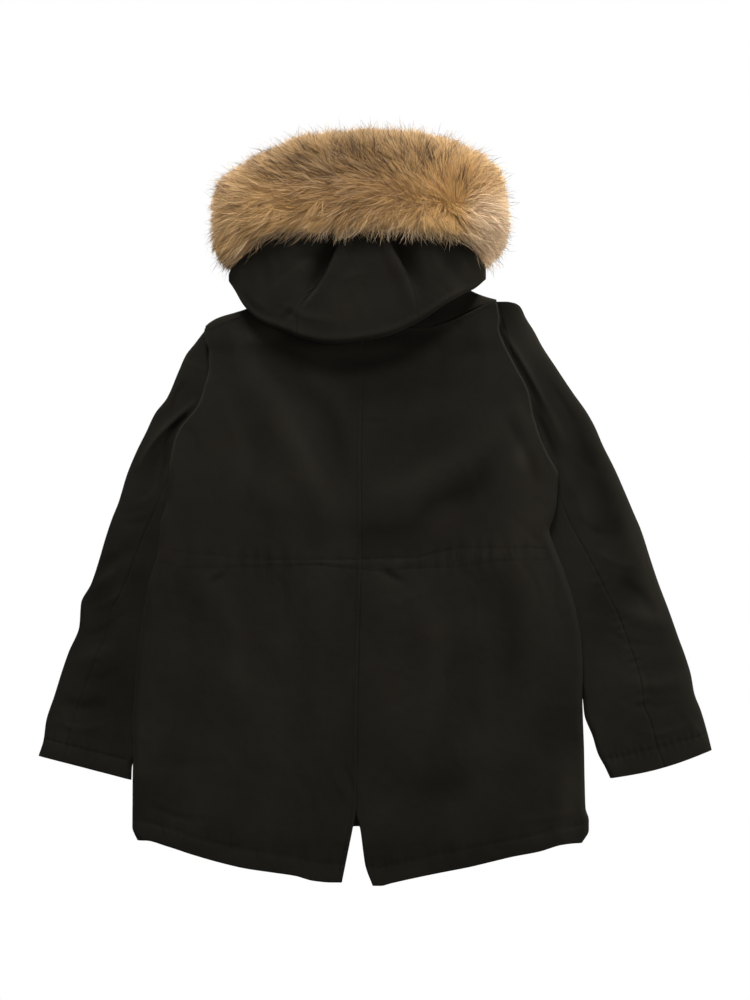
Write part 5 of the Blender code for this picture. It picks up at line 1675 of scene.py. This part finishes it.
def strands(name, random, layer, tufts, material):
    """Hair as thin pointed ribbons. The layer gives how many there are, then ranges for
    length, width, lift and how far past the fur's reach a tip may end, how far tips
    gather, whether only the lip has this hair, and the colours at root and tip."""
    count, length, width, lift_by, past, gathered, at_lip, tones = layer
    root, facing = fur_roots(random, count, at_lip)
    big, small = tufts
    in_big = big.of(root)
    in_small = small.of(root)
    # A tuft takes its direction from a place beside it, so that hair crosses in partings.
    beside = FLOW_ASIDE[0] * small.aside[in_small] + FLOW_ASIDE[1] * big.aside[in_big]
    beside = beside + random.normal(0, FLOW_ASIDE[2], (count, 2))
    angle, disorder = fur_flow(seen_from_above(root) + beside)
    loose = 1 + 2.5 * disorder
    angle = angle + random.normal(0, 0.10, count) * loose
    angle = angle + (big.turn[in_big] + small.turn[in_small]) * loose
    flow = xyz(np.cos(angle), np.sin(angle), FLOW_DOWN)
    # Hair that would grow into the body lies along it, and elsewhere it may stand off.
    into = (flow * facing).sum(axis=1)
    given_up = np.where(into < 0, LIES_ALONG, STANDS_OFF) * into
    along = unit(flow - given_up[:, None] * facing)
    across = unit(np.cross(facing, along))
    bend = big.bend[in_big] + small.bend[in_small] + random.normal(0, 0.12, count)
    # Hair is short at the two ends of the trim.
    thick = np.clip((root[:, 1] - THIN_FROM) / THIN_RUN, 0, 1)
    long = random.uniform(*length, count) * (0.42 + 0.58 * thick)
    long = long * big.long[in_big] * small.long[in_small]
    up = random.uniform(*lift_by, count) * (0.5 + 0.5 * thick)
    up = up * big.lift[in_big] * small.lift[in_small]
    most = random.uniform(*past, count) + small.past[in_small] + big.past[in_big]

    def place(t, size):
        """Where a hair of some size is at a share of its way."""
        rise = up * (1.75 * t - 0.75 * t * t)
        at = root + along * (size * t)[:, None] + facing * (size * rise)[:, None]
        return at + across * (size * bend * 0.5 * t * t)[:, None]

    keep = longest(place, long, most, -np.inf)
    # Hair on the fur's outer side that would stand out too far hangs down instead.
    outward = ((root[:, :2] - np.asarray(FUR_MIDDLE)) * facing[:, :2]).sum(axis=1)
    hangs = (keep < HANGS_UNDER) & (outward > 0) & (facing[:, 2] < 0.5)
    down = unit(facing[:, 2:] * facing - np.array([0.0, 0.0, 1.0]))
    beside_it = unit(along - (along * facing).sum(axis=1)[:, None] * facing)
    along = np.where(hangs[:, None], unit(down + 0.5 * beside_it), along)
    across = unit(np.cross(facing, along))
    up = np.where(hangs, 0.6 * up, up)
    keep = np.where(hangs, longest(place, long, most, 1.0), keep)
    long = long * keep
    pull = small.gather(place(1.0, long), in_small) * random.uniform(*gathered, count)[:, None]
    points = []
    for t in STRAND_STOPS:
        p = place(t, long) + pull * t**1.6
        p[:, 2] -= TIP_SAG * t * t
        p[:, 2] = np.maximum(p[:, 2], hood_surface(p[:, 0], p[:, 1]) + 0.5 + 0.8 * t)
        p[:, 2] = np.minimum(p[:, 2], FUR_TOP)
        points.append(p)
    points = np.stack(points, axis=1)
    turned = unit(facing + random.normal(0, 0.32, facing.shape))
    half = random.uniform(*width, count)[:, None] / 2
    rails = []
    for k, wide in enumerate((0.8, 1.0, 0.7)):
        tangent = points[:, k + 1] - points[:, max(k - 1, 0)]
        side = unit(np.cross(tangent, turned)) * half * wide
        rails += [points[:, k] + side, points[:, k] - side]
    vertices = np.stack(rails + [points[:, 3]], axis=1)
    seen = seen_from_above(points[:, 2])
    at_root, at_tip = tones(random, root, seen, small.chance[in_small])
    own = 1 + 0.06 * small.tone[in_small] + 0.06 * big.tone[in_big]
    share = np.array([0.0, 0.0, 0.45, 0.45, 0.8, 0.8, 1.0])
    colour = mixed(at_root[:, None], at_tip[:, None], share)
    return ribbon_object(name, vertices, colour * own[:, None, None], material)


def ribbon_object(name, vertices, colour, material):
    """Many ribbons of two quads and a point, with a colour at each vertex."""
    count, each = vertices.shape[:2]
    mesh = bpy.data.meshes.new(name)
    mesh.vertices.add(count * each)
    mesh.vertices.foreach_set("co", (vertices.reshape(-1) * MM).astype(np.float32))
    corners = np.array([0, 1, 3, 2, 2, 3, 5, 4, 4, 5, 6])
    number = np.arange(count)[:, None]
    loops = (number * each + corners).reshape(-1)
    starts = (number * len(corners) + np.array([0, 4, 8])).reshape(-1)
    mesh.loops.add(len(loops))
    mesh.loops.foreach_set("vertex_index", loops.astype(np.int32))
    mesh.polygons.add(len(starts))
    mesh.polygons.foreach_set("loop_start", starts.astype(np.int32))
    mesh.update(calc_edges=True)
    layer = mesh.color_attributes.new("tone", "FLOAT_COLOR", "POINT")
    full = np.ones((count * each, 4), np.float32)
    full[:, :3] = colour.reshape(-1, 3)
    layer.data.foreach_set("color", full.reshape(-1))
    mesh.shade_smooth()
    mesh.materials.append(material)
    return linked(name, mesh)


def dark_share(x, y):
    """Share of the hairs that have dark tips."""
    dark = 0.02 + 0.12 * ease((425 - y) / 55)
    for cx, cy, radius, share in DARK_CLUMPS:
        dark = np.maximum(dark, share * bump(np.hypot(x - cx, y - cy), radius))
    return dark


def fur_shade(x, y):
    """The fur is darker left of its middle and lighter towards both ends: partly its own tone,
    partly painted light and shade.
    """
    shade = 1 + 0.05 * ease((95 - x) / 75)
    shade = shade + 0.14 * ease((x + 150) / 25) * ease((y - 300) / 25)
    for at_x, at_y, reach_x, reach_y, amount in FUR_SHADES:
        shade = shade + amount * bump(x - at_x, reach_x) * bump(y - at_y, reach_y)
    return shade


def camel_tone(random, root, tip, chance):
    """Warm camel: redder in the middle, greyer at the upper left, pale at the right end."""
    count = len(root)
    x, y = tip[:, 0], tip[:, 1]
    patch = 0.5 + 0.5 * drift(x, y, 26.0, 51)
    base = mixed(CAMEL, CAMEL_DEEP, 0.6 * patch * random.random(count))
    warm = bump(x + 36, 125) * bump(y - 382, 54)
    base = mixed(base, CAMEL_RED, warm * (0.5 + 0.5 * random.random(count)))
    clumps = dark_share(x, y)
    base = mixed(base, FUR_BROWN, 0.3 * clumps)
    grey = bump(x + 145, 60) * bump(y - 412, 26)
    grey = grey + 0.5 * bump(x - 70, 60) * bump(y - 428, 20)
    base = mixed(base, FUR_GREY, 0.35 * np.clip(grey, 0, 1) * random.random(count))
    pale = np.clip((x - 106) / 26, 0, 1) * np.clip((388 - y) / 28, 0, 1)
    light = (0.16 + 0.5 * random.random(count) ** 1.4) * (1 - 0.75 * warm) * (1 - 0.8 * clumps)
    at_tip = mixed(base, CAMEL_LIGHT, light)
    at_tip = mixed(at_tip, CAMEL_CREAM, 0.95 * pale)
    # Light comes through the hair at the outline, and most at the two sides.
    sides = ease((150 - np.abs(x + 19)) / 15)
    outline = ease(-outside_reach(xyz(x, y, 0.0)) / 9)
    outline = outline * np.maximum(ease((350 - y) / 20), sides)
    at_tip = mixed(at_tip, CAMEL_CREAM, 0.16 * sides + 0.34 * outline * (1 - clumps))
    # Brown shadows between the tufts of the upper third.
    upper = ease((432 - y) / 60) * ease((x - 112) / 40) * (0.5 + 0.5 * drift(x, y, 22.0, 52))
    at_tip = mixed(at_tip, FUR_BROWN, 0.4 * upper * random.random(count))
    at_root = mixed(base * 0.80, FUR_BROWN, 0.14 * (1 - pale))
    at_root = mixed(at_root, CAMEL_CREAM, 0.8 * pale)
    # Partly the fur's own tone, partly painted light and shade over the fur as a whole.
    shade = fur_shade(x, y)[:, None]
    return at_root * shade, at_tip * shade


def dark_tipped(random, root, tip, chance, share, pale):
    """Camel hair of which a share, mostly whole tufts, is dark and the rest has pale tips."""
    count = len(root)
    at_root, at_tip = camel_tone(random, root, tip, chance)
    is_dark = (0.75 * chance + 0.25 * random.random(count) < share)[:, None]
    black = mixed(FUR_BROWN, FUR_BLACK, random.random(count) ** 0.3)
    light = mixed(at_tip, FUR_PALE, pale * random.random(count))
    at_tip = np.where(is_dark, black, light)
    at_root = np.where(is_dark, mixed(at_root, FUR_BROWN, np.full(count, 0.7)), at_root)
    return at_root, at_tip


def long_tone(random, root, tip, chance):
    """Long hair is dark in the clumps and barely paler at its tips."""
    return dark_tipped(random, root, tip, chance, 0.62 * dark_share(tip[:, 0], tip[:, 1]), 0.15)


def guard_tone(random, root, tip, chance):
    """Guard hair is dark-tipped in clumps and along the lower left end."""
    x, y = tip[:, 0], tip[:, 1]
    low_left = bump(x + 182, 16) * bump(y - 284, 26)
    share = np.maximum(0.10 + 2.2 * dark_share(x, y), 0.6 * low_left)
    return dark_tipped(random, root, tip, chance, share, 0.5)


def stray_tone(random, root, tip, chance):
    """Half of the hairs that stray past the outline are dark."""
    return dark_tipped(random, root, tip, random.random(len(root)), 0.5, 0.5)


def wisp_tone(random, root, tip, chance):
    """Thin pale hair over the dark hood, whitened as painted light where it lies in the fur's
    shadow.
    """
    both = dark_tipped(random, root, tip, chance, 0.12, 0.9)
    # Painted light: some wisps are whitened as if lit in the fur's shadow.
    painted_lit = 0.3 * random.random(len(root)) ** 2
    return tuple(mixed(tone, FUR_WISP_LIT, painted_lit) for tone in both)


def fur(material):
    """Underfur, two layers of long hair, guard hair, and stray hairs past the outline."""
    # How many, length, width, lift, past the reach, gathering, only at the lip, tones.
    layers = {
        "fur_under": (
            30000, (12, 20), (0.8, 1.3), (0.28, 0.60), (-10, -3), (0.1, 0.4), False, camel_tone,
        ),
        "fur_long_a": (
            38000, (19, 32), (0.34, 0.66), (0.20, 0.50), (-7, 0), (0.0, 0.36), False, long_tone,
        ),
        "fur_long_b": (
            38000, (21, 36), (0.30, 0.58), (0.18, 0.46), (-6, 1), (0.0, 0.40), False, long_tone,
        ),
        "fur_guard": (
            14000, (24, 40), (0.28, 0.50), (0.24, 0.60), (-4, 4), (0.0, 0.5), False, guard_tone,
        ),
        "fur_stray": (
            1900, (30, 50), (0.28, 0.46), (0.20, 0.60), (3, 15), (0.0, 0.3), False, stray_tone,
        ),
        "fur_wisp": (
            1500, (22, 40), (0.34, 0.60), (0.00, 0.32), (4, 20), (0.0, 0.5), True, wisp_tone,
        ),
    }
    random = np.random.default_rng(77)
    tufts = (Tufts(random, 600, 0.15, 0.30, 0.10), Tufts(random, 6000, 0.15, 0.22, 0.17))
    return [strands(name, random, layer, tufts, material) for name, layer in layers.items()]


# ------------------------------------------------------------------ studio


def backdrop():
    """A white floor that turns up into a white sky far away."""
    bpy.ops.mesh.primitive_uv_sphere_add(segments=48, ring_count=24, radius=9.0)
    dome = bpy.context.object
    dome.name = "backdrop"
    for v in dome.data.vertices:
        v.co.z = max(v.co.z, -0.0006)
    material, tree = new_material("white_paper")
    tree.nodes.remove(tree.nodes["Principled BSDF"])
    glow = add_node(
        tree, "ShaderNodeEmission", [("Color", (1.0, 1.0, 1.0, 1.0)), ("Strength", 1.0)],
    )
    tree.links.new(glow.outputs[0], tree.nodes["Material Output"].inputs["Surface"])
    dome.data.materials.append(material)
    dome.visible_diffuse = False
    dome.visible_glossy = False
    dome.visible_transmission = False
    dome.visible_shadow = False


def area_light(name, place, size, power):
    """A round lamp that faces the coat's middle."""
    light = bpy.data.lights.new(name, "AREA")
    light.shape = "DISK"
    light.size = size
    light.energy = power
    lamp = linked(name, light)
    lamp.location = place
    x, y, z = place
    lamp.rotation_euler = (math.atan2(math.hypot(x, y), z), 0.0, math.atan2(-y, -x) - math.pi / 2)


# Lamps: name, place in metres, diameter, power.
LAMPS = (
    ("key", (-0.35, 2.3, 1.25), 0.8, 84.0),
    ("fill", (2.3, 0.5, 0.8), 0.9, 27.0),
    ("top", (0.3, 0.2, 2.9), 1.6, 12.0),
)
AMBIENT = 0.14  # light from the whole room
AMBIENT_SIDE = 0.70  # what its walls add
AMBIENT_LEAN = (0.42, 0.42)  # how much more of it comes from the right, and past the hood


def studio():
    """Soft light mostly from the hood's side, and the camera straight above."""
    scene = bpy.context.scene
    scene.view_settings.view_transform = "Standard"
    world = bpy.data.worlds.new("studio")
    world.use_nodes = True
    world.node_tree.nodes["Background"].inputs["Color"].default_value = (1.0, 1.0, 1.0, 1.0)
    # The room is lighter towards its walls than overhead, and lightest past the hood.
    sky = world.node_tree
    place = add_node(sky, "ShaderNodeTexCoord").outputs["Generated"]
    way = add_node(sky, "ShaderNodeSeparateXYZ", links=[("Vector", place)]).outputs
    level = math_node(sky, "MINIMUM", math_node(sky, "SUBTRACT", 1.0, way["Z"]), 1.0)
    level = math_node(sky, "MULTIPLY", math_node(sky, "MULTIPLY", level, level), AMBIENT_SIDE)
    right = math_node(sky, "MULTIPLY", way["X"], AMBIENT_LEAN[0])
    ahead = math_node(sky, "MULTIPLY", way["Y"], AMBIENT_LEAN[1])
    lean = math_node(sky, "ADD", math_node(sky, "ADD", right, ahead), 1.0)
    level = math_node(sky, "MULTIPLY", level, lean)
    level = math_node(sky, "ADD", level, AMBIENT)
    sky.links.new(level, sky.nodes["Background"].inputs["Strength"])
    scene.world = world
    for lamp in LAMPS:
        area_light(*lamp)
    camera = linked("camera", bpy.data.cameras.new("camera"))
    camera.data.lens = 72.0
    camera.data.sensor_width = 36.0
    camera.location = (CAMERA_AT[0] * MM, CAMERA_AT[1] * MM, CAMERA_HIGH)
    scene.camera = camera


# ------------------------------------------------------------------ assembly


def main():
    """Makes every piece, hides the part of the model that each one replaces, and sets up the
    studio.
    """
    cloth = cloth_material("parka_cotton", CLOTH_DARK, CLOTH_LIGHT)
    lining = cloth_material("hood_lining_cloth", LINING_DARK, LINING_LIGHT, weave=0.5)
    thread = thread_material()
    hair = fur_material("fur_hair")
    skin = fur_material("fur_underlayer", FUR_SKIN_SHADED)

    back_left = back("back_left_cloth", -1, cloth)
    back_right = back("back_right_cloth", 1, cloth)
    front_left = front("front_left_cloth", -1, cloth)
    front_right = front("front_right_cloth", 1, cloth)
    flap = placket(cloth)
    left_top, left_under, left_cuff = sleeve(-1, cloth)
    right_top, right_under, right_cuff = sleeve(1, cloth)
    hood_left, hood_center, hood_right = hood(cloth)
    folded = hood_lining(lining)
    body = fur_body(skin)
    hairs = fur(hair)

    raised = np.array([0.0, 0.0, 0.15])
    threads = {
        "back_left": stitches("stitches_back_left", back_stitch_lines(-1), thread),
        "back_right": stitches("stitches_back_right", back_stitch_lines(1), thread),
        "sleeve_left": stitches("stitches_sleeve_left", [left_cuff + raised], thread),
        "sleeve_right": stitches("stitches_sleeve_right", [right_cuff + raised], thread),
    }

    replaced = (
        (back_left, "back_left", "shell"),
        (back_right, "back_right", "shell"),
        (front_left, "front_left", "shell"),
        (front_right, "front_right", "shell"),
        (flap, "front_placket", "shell"),
        (left_top, "sleeve_left_top", "shell"),
        (left_under, "sleeve_left_under", "shell"),
        (right_top, "sleeve_right_top", "shell"),
        (right_under, "sleeve_right_under", "shell"),
        (hood_left, "hood_left", "shell"),
        (hood_center, "hood_center", "shell"),
        (hood_right, "hood_right", "shell"),
        (folded, "hood_lining", "lining"),
        (body, "fur_trim", "fur"),
    )
    for piece, node, slot in replaced:
        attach(piece, "root")
        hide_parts(node)
    for piece in hairs:
        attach(piece, "root")
    for piece in threads.values():
        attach(piece, "root")

    backdrop()
    studio()


main()
